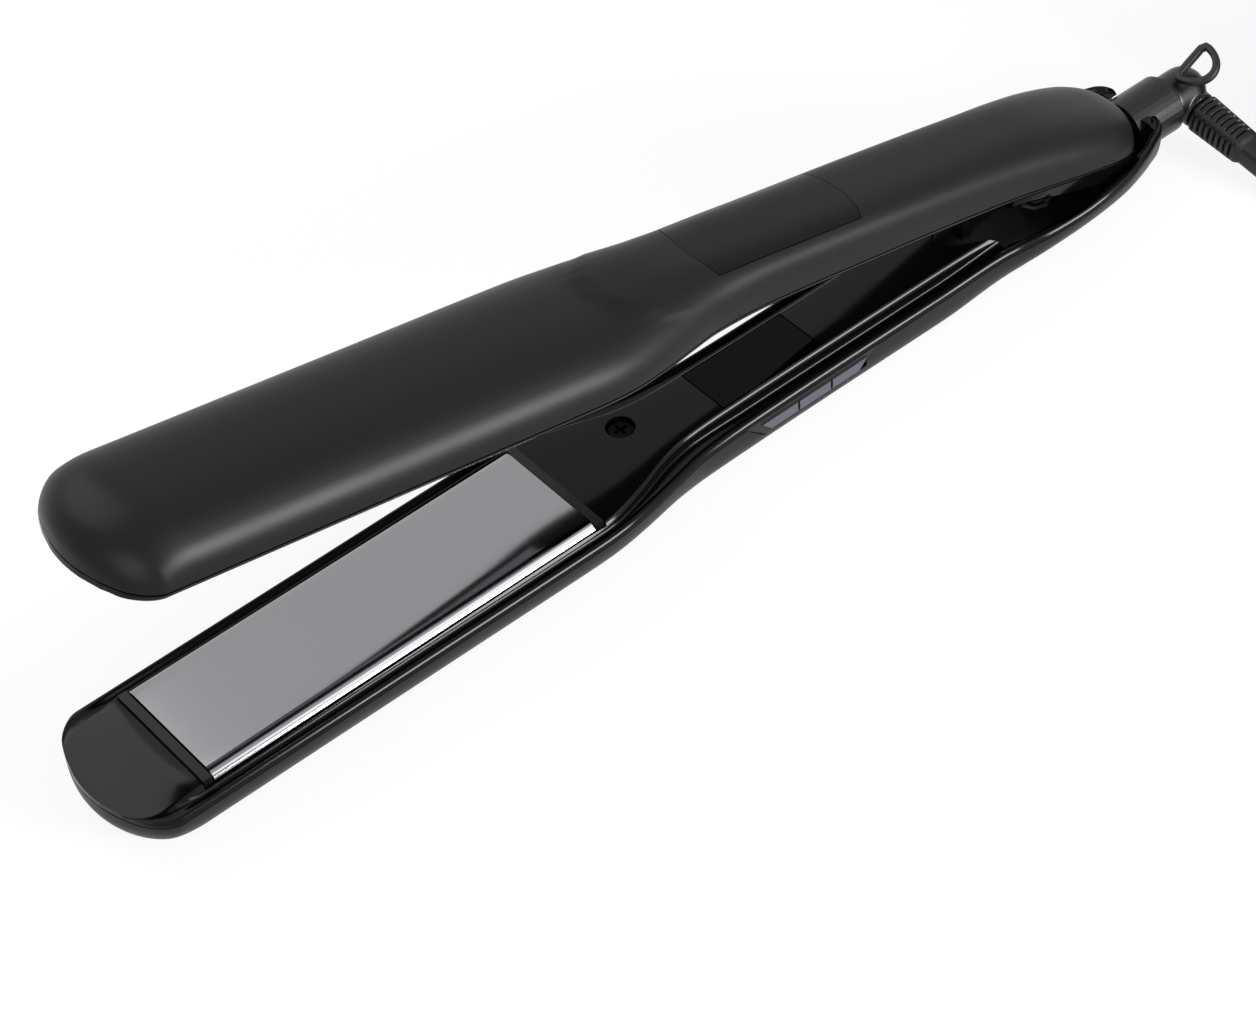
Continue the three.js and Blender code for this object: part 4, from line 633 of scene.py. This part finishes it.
def ear(side):
    s, x, z = hingeSet, armSet["hingeX"], armSet["hingeDrop"]
    start, turns = x - s["earBefore"], span(s["noseTurn"], math.pi / 2, s["earSteps"])
    fore = [start + s["earNose"] * (1 - math.cos(turn)) for turn in turns]
    tops, unders = [], []
    for place in fore + span(start + s["restShare"] * s["earNose"], x, s["earSteps"]):
        inner, outer, top, low = earRow(place)
        across = span(inner, outer, s["earAcross"])
        tops.append([(place, side * y, low) for y in across])
        unders.append([(place, side * y, top) for y in across])
    plate = solidBetween(tops, unders)
    reach = earRow(x)[1] - gap
    join(plate, rod((x, side * s["barrelInner"], z), (x, side * reach, z), s["barrel"]))
    turn = Matrix.Rotation(-math.radians(armSet["openAngle"]), 4, "Y")
    hinge = Vector((x, 0, -z))

    def closed(p):
        return Vector((p.x, p.y, -p.z))

    def opened(p):
        return turn @ (closed(p) - hinge) + hinge

    for pose in (closed, opened):
        combine("INTERSECT", plate, armInside(lowerArm, armSet["wall"] + gap, pose))
    bore = s["pin"] + s["bush"] + 2 * gap
    return cut(plate, rod((x, 0, z), (x, side * beyond, z), bore, "medium"))


lugSet = {
    "before": 43, "length": 3, "aside": -2, "halfWidth": 1.4, "height": 9.4, "fin": 16, "finHeight": 4,
}


def lug():
    s, y, half = lugSet, lugSet["aside"], lugSet["halfWidth"]
    start, root = armSet["hingeX"] - s["before"], -2 * coverSet["deckDrop"]
    end, middle = start + s["length"], start + s["length"] / 2
    post = block((start, y - half, root), (end, y + half, s["height"]))
    high, finEnd = s["height"] - s["length"] / 4, end + s["fin"]
    outline = [(middle, root), (middle, high), (end, high), (finEnd, s["finHeight"]), (finEnd, root)]
    return join(post, prism(outline, y - half / 2, y + half / 2))


def lowerCover():
    c, start, reach = coverSet, coverSet["cavityStart"], coverSet["cavityArch"]
    arch = [start + reach * t * t for t in span(c["archRoot"], 1, c["archSteps"])]
    rest = span(start + c["restShare"] * reach, c["cavityEnd"], c["cavitySteps"])

    def half(x):
        grown = c["cavityWidth"] * ((x - start) / reach) ** c["archPower"]
        return min(sectionAt(lowerArm, x)["width"] - c["rim"], grown)

    cavity = planCutter(arch + rest, half, -beyond, beyond)
    low, high = localBox("display_window")
    ledge = 2 * c["ledge"]
    recess = block(
        (low.x - gap, low.y - gap, -(c["deckDrop"] + c["ledge"])), (high.x + gap, high.y + gap, beyond),
    )
    through = block((low.x + ledge, low.y + ledge, -beyond), (high.x - ledge, high.y - ledge, beyond))
    return cut(armCover(lowerArm), cavity, earSlot(1), earSlot(-1), recess, through, collarCut())


def upperCover():
    return join(armCover(upperArm), ear(1), ear(-1), lug())


inlaySet = {
    "start": 137.006, "length": 36.6, "halfWidth": 8.5, "thickness": 0.65, "bow": 1.6, "overrun": 2,
    "steps": 30, "across": 24,
}


def inlayBlock(grow, above, below):  # a patch of the upper shell's skin with bowed ends
    s, tops, unders = inlaySet, [], []
    for u in span(0, 1, s["steps"]):
        tops.append([])
        unders.append([])
        for t in span(-1, 1, s["across"]):
            y = t * (s["halfWidth"] + grow)
            bow = s["bow"] * (1 - t * t)
            start, end = s["start"] - grow - bow, s["start"] + s["length"] + grow + bow
            x = start + (end - start) * u
            place = sectionAt(upperArm, x)
            curve = (1 - abs(y / place["width"]) ** place["power"]) ** (1 / place["power"])
            z = -(place["lip"] + (place["depth"] - place["lip"]) * curve)
            tops[-1].append((x, y, z + below))
            unders[-1].append((x, y, z - above))
    return solidBetween(tops, unders)


def upperShell():
    s, play = inlaySet, gap / 2
    return cut(armShell(upperArm), inlayBlock(play, s["overrun"], s["thickness"] + play))


def settle(obj, name, node, body, slot):  # from the closed arm's mm into the frame, on its body
    s, upper = armSet, node.startswith("upper")
    toFrame = toMetres @ Matrix.Translation((-s["originX"], 0, -s["underside"]))
    if upper:
        hinge = Vector((s["hingeX"], 0, -s["hingeDrop"]))
        mirror = Matrix.Translation((-s["hingeX"], 0, s["hingeDrop"])) @ Matrix.Diagonal((1, 1, -1, 1))
        turn = Matrix.Rotation(math.radians(s["openAngle"]), 4, "Y")
        toFrame = toFrame @ Matrix.Translation(hinge) @ turn @ mirror
    obj.data.transform(toFrame)
    if upper:
        obj.data.flip_normals()  # the mirror turned them inward
    register(obj, name, body, slot, node)


settle(lowerShell(), "lower_casing", "lower_shell", "lower_arm", "shell")
settle(upperShell(), "upper_casing", "upper_shell", "upper_arm", "shell")
settle(lowerCover(), "lower_cover", "lower_liner", "lower_arm", "liner")
settle(upperCover(), "upper_cover", "upper_liner", "upper_arm", "liner")
inlayPanel = inlayBlock(0, 0, inlaySet["thickness"])
settle(inlayPanel, "inlay_panel", "upper_inlay", "upper_arm", "trim")

# plates: coated faces with wide rolled edges
plateSet = {
    "start": 17.8, "length": 88, "halfWidth": 13.7, "roll": 2.7, "rollDrop": 1.9, "top": -0.2,
    "thickness": 2.6, "steps": 10,
}


def plateBlock():
    s, top, flat = plateSet, plateSet["top"], plateSet["halfWidth"] - plateSet["roll"]
    half = [
        (flat + s["roll"] * math.sin(turn), top - s["rollDrop"] * (1 - math.cos(turn)))
        for turn in span(math.pi / 2, 0, s["steps"])
    ]
    middle = [(flat * t, top) for t in span(1, -1, s["steps"])[1:-1]]
    line = half + middle + [(-y, z) for y, z in reversed(half)]
    ends = (s["start"], s["start"] + s["length"])
    tops = [[(x, y, z) for y, z in line] for x in ends]
    return solidBetween(tops, [[(x, y, top - s["thickness"]) for y, _ in line] for x in ends])


for arm in ("lower", "upper"):
    settle(plateBlock(), f"{arm}_hot_plate", f"{arm}_plate", f"{arm}_plate_unit", "plate")


# what turns with the swivel, in mm in the frame's own axes
def squareRing(middle, across, rise, halfWide, halfHigh, power, count):  # round at power 2, else squarer
    ring = []
    for turn in span(0, 2 * math.pi, count)[:-1]:
        c, s = math.cos(turn), math.sin(turn)
        wide = halfWide * math.copysign(abs(c) ** (2 / power), c)
        high = halfHigh * math.copysign(abs(s) ** (2 / power), s)
        ring.append(middle + across * wide + rise * high)
    return ring


def closedBand(line, normal, halfWide, halfHigh, power, count):
    rings = []
    for i, place in enumerate(line):
        along = (line[(i + 1) % len(line)] - line[i - 1]).normalized()
        rings.append(squareRing(place, normal.cross(along), normal, halfWide, halfHigh, power, count))
    return ringSolid(rings, closed=True)


def onSwivel(obj, name, node, slot="cord_rubber"):
    obj.data.transform(toMetres)
    return register(obj, name, "swivel", slot, node)


# knuckle, ribbed relief and hanging loop
swivelSet = {
    "middle": Vector((173.68, 0, 10.45)), "radius": 5.2, "neckStart": 168.38, "spigotStart": 158.98,
    "spigot": 4.7, "hole": 1.8, "holeEnd": 160.98, "overrun": 1, "droop": 9, "branchDrop": 1.5,
    "branch": 4.1, "domeSteps": 24, "domeSides": 40, "voxel": 0.22, "smoothing": 10, "smoothFactor": 0.5,
}
reliefSet = {
    "start": 5.8, "length": 20, "root": 3.75, "shoulder": 3.35, "tip": 2.8, "ribbedShare": 0.62,
    "fade": 1.6, "corner": 0.6, "power": 3.6, "steps": 200, "sides": 64,
    # grooves on each of the four sides, bowed and gone before the corners, with the sweep in radians
    "grooves": 8, "pitch": 1.45, "groove": 0.34, "depth": 0.72, "sweep": 0.56, "bend": 0.9,
    "firstShare": 0.8, "endPower": 6, "steepness": 1.6,
}
droop = math.radians(swivelSet["droop"])
reliefWay = Vector((0, -math.cos(droop), -math.sin(droop)))


def elbowPoint(distance):
    return swivelSet["middle"] - Vector((0, 0, swivelSet["branchDrop"])) + reliefWay * distance


def knuckle():
    s, middle, rings = swivelSet, swivelSet["middle"], []
    for turn in span(0, math.pi, s["domeSteps"])[1:-1]:
        place = middle + Vector((s["radius"] * math.cos(turn), 0, 0))
        half = s["radius"] * math.sin(turn)
        rings.append(squareRing(place, yAxis, zAxis, half, half, power=2, count=s["domeSides"]))
    body = ringSolid(rings)
    join(body, rod((s["neckStart"], 0, middle.z), middle, s["radius"]))
    join(body, rod(elbowPoint(0), elbowPoint(reliefSet["start"] - gap), s["branch"]))
    join(body, rod((s["spigotStart"], 0, middle.z), middle, s["spigot"]))
    cut(body, rod((s["spigotStart"] - s["overrun"], 0, middle.z), (s["holeEnd"], 0, middle.z), s["hole"]))
    blend = body.modifiers.new("blend", "REMESH")
    blend.mode, blend.voxel_size = "VOXEL", s["voxel"]
    smooth = body.modifiers.new("smooth", "SMOOTH")
    smooth.factor, smooth.iterations = s["smoothFactor"], s["smoothing"]
    return baked(body)


def ribbedRelief():
    s, rise, rings, quarter = reliefSet, xAxis.cross(reliefWay), [], math.pi / 2
    ribbedEnd = s["length"] * s["ribbedShare"]
    for distance in span(0, s["length"], s["steps"]):
        if distance < ribbedEnd:
            half = s["root"] + (s["shoulder"] - s["root"]) * distance / ribbedEnd
        else:
            faded = ease(min((distance - ribbedEnd) / s["fade"], 1))
            half = s["tip"] + (s["shoulder"] - s["tip"]) * (1 - faded)
        half -= endRounding(distance, s["corner"], s["corner"])
        middle = elbowPoint(s["start"] + distance)
        ring = squareRing(middle, xAxis, rise, half, half, s["power"], s["sides"])
        for j, place in enumerate(ring):
            off = (2 * math.pi * j / s["sides"] + quarter / 2) % quarter - quarter / 2
            nearest = (distance - s["bend"] * off * off) / s["pitch"] - s["firstShare"]
            index = min(max(round(nearest), 0), s["grooves"] - 1)
            aside = abs(nearest - index) * s["pitch"]
            inside = 1 - math.sqrt((aside / s["groove"]) ** 2 + (off / s["sweep"]) ** s["endPower"])
            depth = s["depth"] * ease(min(max(inside * s["steepness"], 0), 1))
            ring[j] = place + (middle - place).normalized() * depth
        rings.append(ring)
    return ringSolid(rings)


loopSet = {
    "width": 10.6, "reach": 7, "aside": -0.4, "limb": 1.6, "thickness": 1.8, "tilt": 27,
    "place": Vector((169.88, 0, 15.65)), "clearStart": 150, "clear": 5.5,
    "footShares": (0.12, 0.88),  # of the width between the limbs
    "footSteps": 8, "arcSteps": 28, "power": 3, "sides": 20,
}


def hangingLoop():
    s, half, thick = loopSet, loopSet["limb"] / 2, loopSet["thickness"] / 2
    low, high = half, s["width"] - half
    top, middle, radius = s["aside"] - half, s["width"] / 2, s["width"] / 2 - half
    turns = span(0, math.pi, s["arcSteps"])
    arc = [(middle + radius * math.cos(t), top - (s["reach"] - half) * math.sin(t)) for t in turns]
    foot = [(low + (high - low) * t, top) for t in span(*s["footShares"], s["footSteps"])]
    line = [Vector((x, y, thick)) for x, y in foot + arc[1:-1]]
    ring = closedBand(line, zAxis, half, thick, s["power"], s["sides"])
    turn = Matrix.Rotation(-math.radians(s["tilt"]), 4, "Y")
    ring.data.transform(Matrix.Translation(s["place"]) @ turn)
    centre = swivelSet["middle"]
    return cut(ring, rod((s["clearStart"], 0, centre.z), centre, s["clear"]))


# tie and plug, on the hank
tieSet = {
    "x": 230.18, "halfWidth": 4, "thickness": 0.7, "low": (-55.84, 0), "high": (2.79, 24.9),
    "corner": 2.9, "cornerSteps": 6, "power": 5, "sides": 28,
}
plugSet = {
    "entry": 239.68, "length": 29.7, "y": -9.18, "z": 33.2, "steps": 6, "sides": 56,
    "stations": [  # share of the length, half-width, half-height, squareness
        (0, 3.9, 3.9, 2), (0.04, 4.2, 4.2, 2), (0.3, 5.8, 5, 2.2), (0.5, 9.8, 6.7, 2.8),
        (0.7, 12.2, 7.8, 3.4), (0.85, 12.5, 8, 3.6), (0.96, 12.5, 8, 3.6), (0.99, 12.2, 7.7, 3.6),
        (1, 11.7, 7.2, 3.6),
    ],
}


def tieBand():
    s, r, inset, line = tieSet, tieSet["corner"], tieSet["thickness"] / 2, []
    (y0, z0), (y1, z1) = [[v + inset for v in s["low"]], [v - inset for v in s["high"]]]
    corners = [(y1 - r, z1 - r), (y0 + r, z1 - r), (y0 + r, z0 + r), (y1 - r, z0 + r)]
    for quarter, (y, z) in enumerate(corners):
        for turn in span(quarter * math.pi / 2, (quarter + 1) * math.pi / 2, s["cornerSteps"]):
            line.append(Vector((s["x"], y + r * math.cos(turn), z + r * math.sin(turn))))
    return closedBand(line, xAxis, inset, s["halfWidth"], s["power"], s["sides"])


def plugBody():
    s, rings = plugSet, []
    for (a, *first), (b, *second) in zip(s["stations"], s["stations"][1:]):
        for t in span(0, 1, s["steps"])[:-1]:
            wide, high, power = [p + (q - p) * ease(t) for p, q in zip(first, second)]
            middle = Vector((s["entry"] - s["length"] * (a + (b - a) * t), s["y"], s["z"]))
            rings.append(squareRing(middle, yAxis, zAxis, wide, high, power, s["sides"]))
    return ringSolid(rings)


tie = onSwivel(tieBand(), "tie_band", "cord_tie")
plug = onSwivel(plugBody(), "plug_shell", "plug_body")
onSwivel(knuckle(), "swivel_knuckle", "swivel_elbow", "trim")
onSwivel(ribbedRelief(), "ribbed_relief", "cord_relief")
onSwivel(hangingLoop(), "hanging_ring", "hanging_loop")

# what a joint presses: plain copies of the CAD pads and spring, each made a piece of its arm
openTurn = math.radians(armSet["openAngle"])
padAxes = {
    "lower": (0, 0, -1),
    "upper": (round(math.sin(openTurn), 6), 0, round(math.cos(openTurn), 6)),
}


def pressed(node, name, body, slot, axis):
    mesh, along = nodes[node].data.copy(), Vector(axis)
    mesh.transform(nodes[node].matrix_world)
    piece = register(newObject(name, mesh), name, body, slot, node)
    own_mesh(piece)


for arm, axis in padAxes.items():
    for end, cushion in (("front", "fore"), ("rear", "aft")):
        pressed(
            f"{arm}_{end}_pad", f"{arm}_{cushion}_cushion", f"{arm}_arm", "silicone",
            axis,
        )
pressed(
    "return_spring", "hinge_spring", "lower_arm", "steel", padAxes["lower"],
)

# finishes, each with a note of what it gives the eye
finishSet = {
    "softTouchAbs": {  # ABS under soft-touch paint: broad soft highlights over a faint moulded grain
        "colour": "#0e0e0e", "roughness": 0.38, "ior": 1.49, "gloss": 0.14, "grain": 0.35, "bump": 0.12,
    },
    "polishedAbs": {  # polished moulded ABS: deep black with sharp highlights
        "colour": "#050505", "roughness": 0.12, "ior": 1.5, "gloss": 0.14, "grain": 6, "bump": 0.04,
    },
    "satinAbs": {  # satin moulded ABS of small trim: black with a soft, wider highlight
        "colour": "#0d0d0e", "roughness": 0.32, "ior": 1.54, "gloss": 0.25, "grain": 0.5, "bump": 0.15,
    },
    "smokedAcrylic": {  # polished smoked acrylic over an unlit display: near black and very smooth
        "colour": "#020203", "roughness": 0.04, "ior": 1.49, "gloss": 0.06, "grain": 9, "bump": 0.02,
    },
    "mouldedAbs": {  # bluish grey moulded keys, a little lighter than what is round them
        "colour": "#363740", "roughness": 0.34, "ior": 1.54, "gloss": 0.5, "grain": 0.4, "bump": 0.15,
    },
    "glassFilledNylon": {  # moulded, black and slightly mottled
        "colour": "#090909", "roughness": 0.4, "ior": 1.53, "gloss": 0.2, "grain": 0.4, "bump": 0.2,
    },
    "softPvc": {  # extruded or moulded soft PVC: near black with a low sheen
        "colour": "#101010", "roughness": 0.45, "ior": 1.53, "gloss": 0.25, "grain": 0.4, "bump": 0.2,
    },
    "extrudedSilicone": {  # insulation of the inner wires: dark red with a dull sheen
        "colour": "#8c2018", "roughness": 0.5, "ior": 1.43, "gloss": 0.5, "grain": 0.4, "bump": 0.2,
    },
    "mouldedSilicone": {  # matt brick red
        "colour": "#8a4234", "roughness": 0.65, "ior": 1.43, "gloss": 0.5, "grain": 0.4, "bump": 0.3,
    },
    "firedAlumina": {  # off-white and dry
        "colour": "#d3cfc3", "roughness": 0.6, "ior": 1.76, "gloss": 0.5, "grain": 0.3, "bump": 0.3,
    },
    "lacqueredLaminate": {  # glass laminate under green solder mask, with a slight gloss
        "colour": "#1d5432", "roughness": 0.35, "ior": 1.55, "gloss": 0.5, "grain": 1.2, "bump": 0.2,
    },
}
metalSet = {
    "coatedAluminium": {  # grey mirror, faintly drawn along its length
        "colour": "#8f8f92", "roughness": 0.09, "drawn": 0.25, "bump": 0.006,
    },
    "nickelPlatedSteel": {  # bright, with fine drawn lines
        "colour": "#b5b7ba", "roughness": 0.28, "drawn": 0.3, "bump": 0.1,
    },
    "paintedShadeSteel": {  # steel screws painted near black: painted shade standing for the dark of their deep wells
        "colour": "#080808", "roughness": 0.5, "drawn": 0.3, "bump": 0.1,
    },
    "drawnBrass": {  # warm and slightly dull
        "colour": "#c0994a", "roughness": 0.3, "drawn": 0.3, "bump": 0.1,
    },
}
# patches as handling leaves, their share of the roughness, and the grain's depth
wearSet = {
    "plastic": {"patch": 22.2, "patchShare": 0.12, "depth": 0.04},
    "metal": {"patch": 33.3, "patchShare": 0.1, "depth": 0.02},
    "patchDetail": 4.0,
    "grainDetail": 2.0,
    "drawnOut": 0.02,  # the grain's scale along X on a metal, which draws it out into lines
}


def startMaterial(name, s):
    material = bpy.data.materials.new(name)
    material.use_nodes = True
    tree = material.node_tree
    shader = tree.nodes["Principled BSDF"]
    shader.inputs["Base Color"].default_value = linear(s["colour"])
    shader.inputs["Roughness"].default_value = s["roughness"]
    return material, tree, shader


def wornMaterial(name, s, wear):
    material, tree, shader = startMaterial(name, s)
    place = addNode(tree, "ShaderNodeTexCoord").outputs["Object"]
    noise = addNode(
        tree, "ShaderNodeTexNoise", {"Scale": 1000 / wear["patch"], "Detail": wearSet["patchDetail"]},
        Vector=place,
    )
    low, high = (s["roughness"] * (1 + side * wear["patchShare"]) for side in (-1, 1))
    spread = addNode(
        tree, "ShaderNodeMapRange", {"To Min": low, "To Max": high}, Value=noise.outputs["Fac"],
    )
    tree.links.new(spread.outputs["Result"], shader.inputs["Roughness"])
    return material, tree, shader, place


def addGrain(tree, shader, place, spacing, strength, wear):
    grain = addNode(
        tree, "ShaderNodeTexNoise", {"Scale": 1000 / spacing, "Detail": wearSet["grainDetail"]},
        Vector=place,
    )
    bump = addNode(
        tree, "ShaderNodeBump", {"Strength": strength, "Distance": wear["depth"] / 1000},
        Height=grain.outputs["Fac"],
    )
    tree.links.new(bump.outputs["Normal"], shader.inputs["Normal"])


def makePlastic(name, s):
    material, tree, shader, place = wornMaterial(name, s, wearSet["plastic"])
    shader.inputs["IOR"].default_value = s["ior"]
    shader.inputs["Specular IOR Level"].default_value = s["gloss"]
    addGrain(tree, shader, place, s["grain"], s["bump"], wearSet["plastic"])
    return material


def makeMetal(name, s):
    material, tree, shader, place = wornMaterial(name, s, wearSet["metal"])
    shader.inputs["Metallic"].default_value = 1.0
    drawn = addNode(tree, "ShaderNodeMapping", {"Scale": (wearSet["drawnOut"], 1.0, 1.0)}, Vector=place)
    addGrain(tree, shader, drawn.outputs["Vector"], s["drawn"], s["bump"], wearSet["metal"])
    return material


finishes = {name: makePlastic(name, s) for name, s in finishSet.items()}
finishes.update({name: makeMetal(name, s) for name, s in metalSet.items()})
print("finishes made:", len(finishes))

# which finish each piece has, made here or kept from the CAD
finishOf = {
    "softTouchAbs": ["lower_casing", "upper_casing"],
    "polishedAbs": ["lower_cover", "upper_cover", "inlay_panel"],
    "satinAbs": ["key_bezel", "swivel_collar", "swivel_knuckle"],
    "smokedAcrylic": ["display_window"],
    "mouldedAbs": ["front_key", "middle_key", "rear_key"],
    "glassFilledNylon": [
        "lower_plate_carrier", "upper_plate_carrier", "display_module", "swivel_socket",
    ],
    "softPvc": ["ribbed_relief", "hanging_ring", "tie_band", "plug_shell"],
    "extrudedSilicone": ["lower_lead", "upper_lead"],
    "mouldedSilicone": [
        "lower_fore_cushion", "lower_aft_cushion", "upper_fore_cushion", "upper_aft_cushion", "key_mat",
    ],
    "firedAlumina": ["lower_heater", "upper_heater"],
    "lacqueredLaminate": ["control_board", "key_board"],
    "coatedAluminium": ["lower_hot_plate", "upper_hot_plate"],
    "nickelPlatedSteel": [
        "lower_temperature_sensor", "upper_temperature_sensor", "hinge_spring", "near_hinge_pin",
        "far_hinge_pin", "plug_blade_left", "plug_blade_right", "thermal_fuse",
    ],
    # the screws' near black is painted shade, standing for the dark of the wells they sit in
    "paintedShadeSteel": ["lower_liner_screw", "upper_liner_screw"],
    "drawnBrass": ["swivel_contact", "near_hinge_bush", "far_hinge_bush"],
}
# small rounds on CAD pieces that keep their shape
softEdges = {
    "lower_plate_carrier": 0.4, "upper_plate_carrier": 0.4, "front_key": 0.15, "middle_key": 0.15,
    "rear_key": 0.15, "swivel_collar": 0.2, "display_window": 0.12, "plug_blade_left": 0.3,
    "plug_blade_right": 0.3,
}
edgeSegments = 3


def dress(obj, finish, sharpFrom=32):  # edges that turn by more degrees than this stay sharp
    obj.data.materials.clear()
    obj.data.materials.append(finishes[finish])
    for polygon in obj.data.polygons:
        polygon.use_smooth = True
    obj.data.set_sharp_from_angle(angle=math.radians(sharpFrom))


for finish, names in finishOf.items():
    for name in names:
        dress(made.get(name) or nodes[name], finish)
dress(powerCord, "softPvc", sharpFrom=60)
for name, width in softEdges.items():
    bevel = nodes[name].modifiers.new("soft edge", "BEVEL")
    bevel.width, bevel.segments, bevel.limit_method = width / 1000, edgeSegments, "ANGLE"
    bevel.harden_normals = name != "swivel_collar"  # its round side would turn flat
print("pieces dressed:", 1 + sum(len(names) for names in finishOf.values()))

# studio: pale floor, soft lamps, white all round for the camera and for reflections
studioSet = {
    "floorSize": 6.0,  # metres, as the lamps' places and sizes are
    "backdrop": {"colour": "#f2f2f2", "roughness": 0.9},
    "floorShare": 0.86,  # how much of the floor's white is plain, the rest keeps the shadow
    "worldColour": "#ffffff",
    "worldFill": 0.42,
    "lamps": [  # place, size, watts
        ((-0.2, 0.78, 0.92), 0.9, 6.0),
        ((0.5, -0.62, 0.75), 0.6, 2.4),
        ((-0.75, -0.45, 0.5), 0.6, 4.0),
        ((0.42, -0.85, 0.24), 0.4, 16.0),
    ],
}


def seenDirectly(tree):  # 1 for what the camera sees, also in a reflection or through glass
    path = addNode(tree, "ShaderNodeLightPath")
    seen = path.outputs["Is Camera Ray"]
    for ray in ("Is Glossy Ray", "Is Transmission Ray"):
        either = addNode(tree, "ShaderNodeMath", {"operation": "MAXIMUM"}, Value=seen)
        tree.links.new(path.outputs[ray], either.inputs[1])
        seen = either.outputs[0]
    return seen


def mixInto(tree, output, share, lit, white):  # white by the share, and otherwise lit
    mix = addNode(tree, "ShaderNodeMixShader")
    for socket, source in zip(mix.inputs, (share, lit, white)):
        tree.links.new(source, socket)
    tree.links.new(mix.outputs[0], tree.nodes[output].inputs["Surface"])


def makeFloor(s):
    mesh = bpy.data.meshes.new("floor")
    half = s["floorSize"] / 2
    corners = [(-half, -half, 0), (half, -half, 0), (half, half, 0), (-half, half, 0)]
    mesh.from_pydata(corners, [], [(0, 1, 2, 3)])
    floor = newObject("floor", mesh)
    material, tree, shader = startMaterial("paperBackdrop", s["backdrop"])
    share = addNode(
        tree, "ShaderNodeMath", {"operation": "MULTIPLY", 1: s["floorShare"]}, Value=seenDirectly(tree),
    )
    white = addNode(tree, "ShaderNodeEmission", {"Strength": 1.0})
    mixInto(tree, "Material Output", share.outputs[0], shader.outputs[0], white.outputs[0])
    mesh.materials.append(material)


def makeWorld(s):
    world = bpy.data.worlds.new("studio")
    scene.world = world
    world.use_nodes = True
    tree = world.node_tree
    fill, white = (
        addNode(tree, "ShaderNodeBackground", {"Color": linear(s["worldColour"]), "Strength": strength})
        for strength in (s["worldFill"], 1.0)
    )
    mixInto(tree, "World Output", seenDirectly(tree), fill.outputs[0], white.outputs[0])


def makeLamps(s):
    for i, (place, size, watts) in enumerate(s["lamps"]):
        lamp = newObject(f"softbox{i}", bpy.data.lights.new(f"softbox{i}", "AREA"))
        lamp.data.energy, lamp.data.size = watts, size
        lamp.location = place
        lamp.rotation_euler = (-Vector(place)).to_track_quat("-Z", "Y").to_euler()


makeFloor(studioSet)
makeWorld(studioSet)
makeLamps(studioSet)
scene.view_settings.view_transform = "Standard"
print("studio lit")
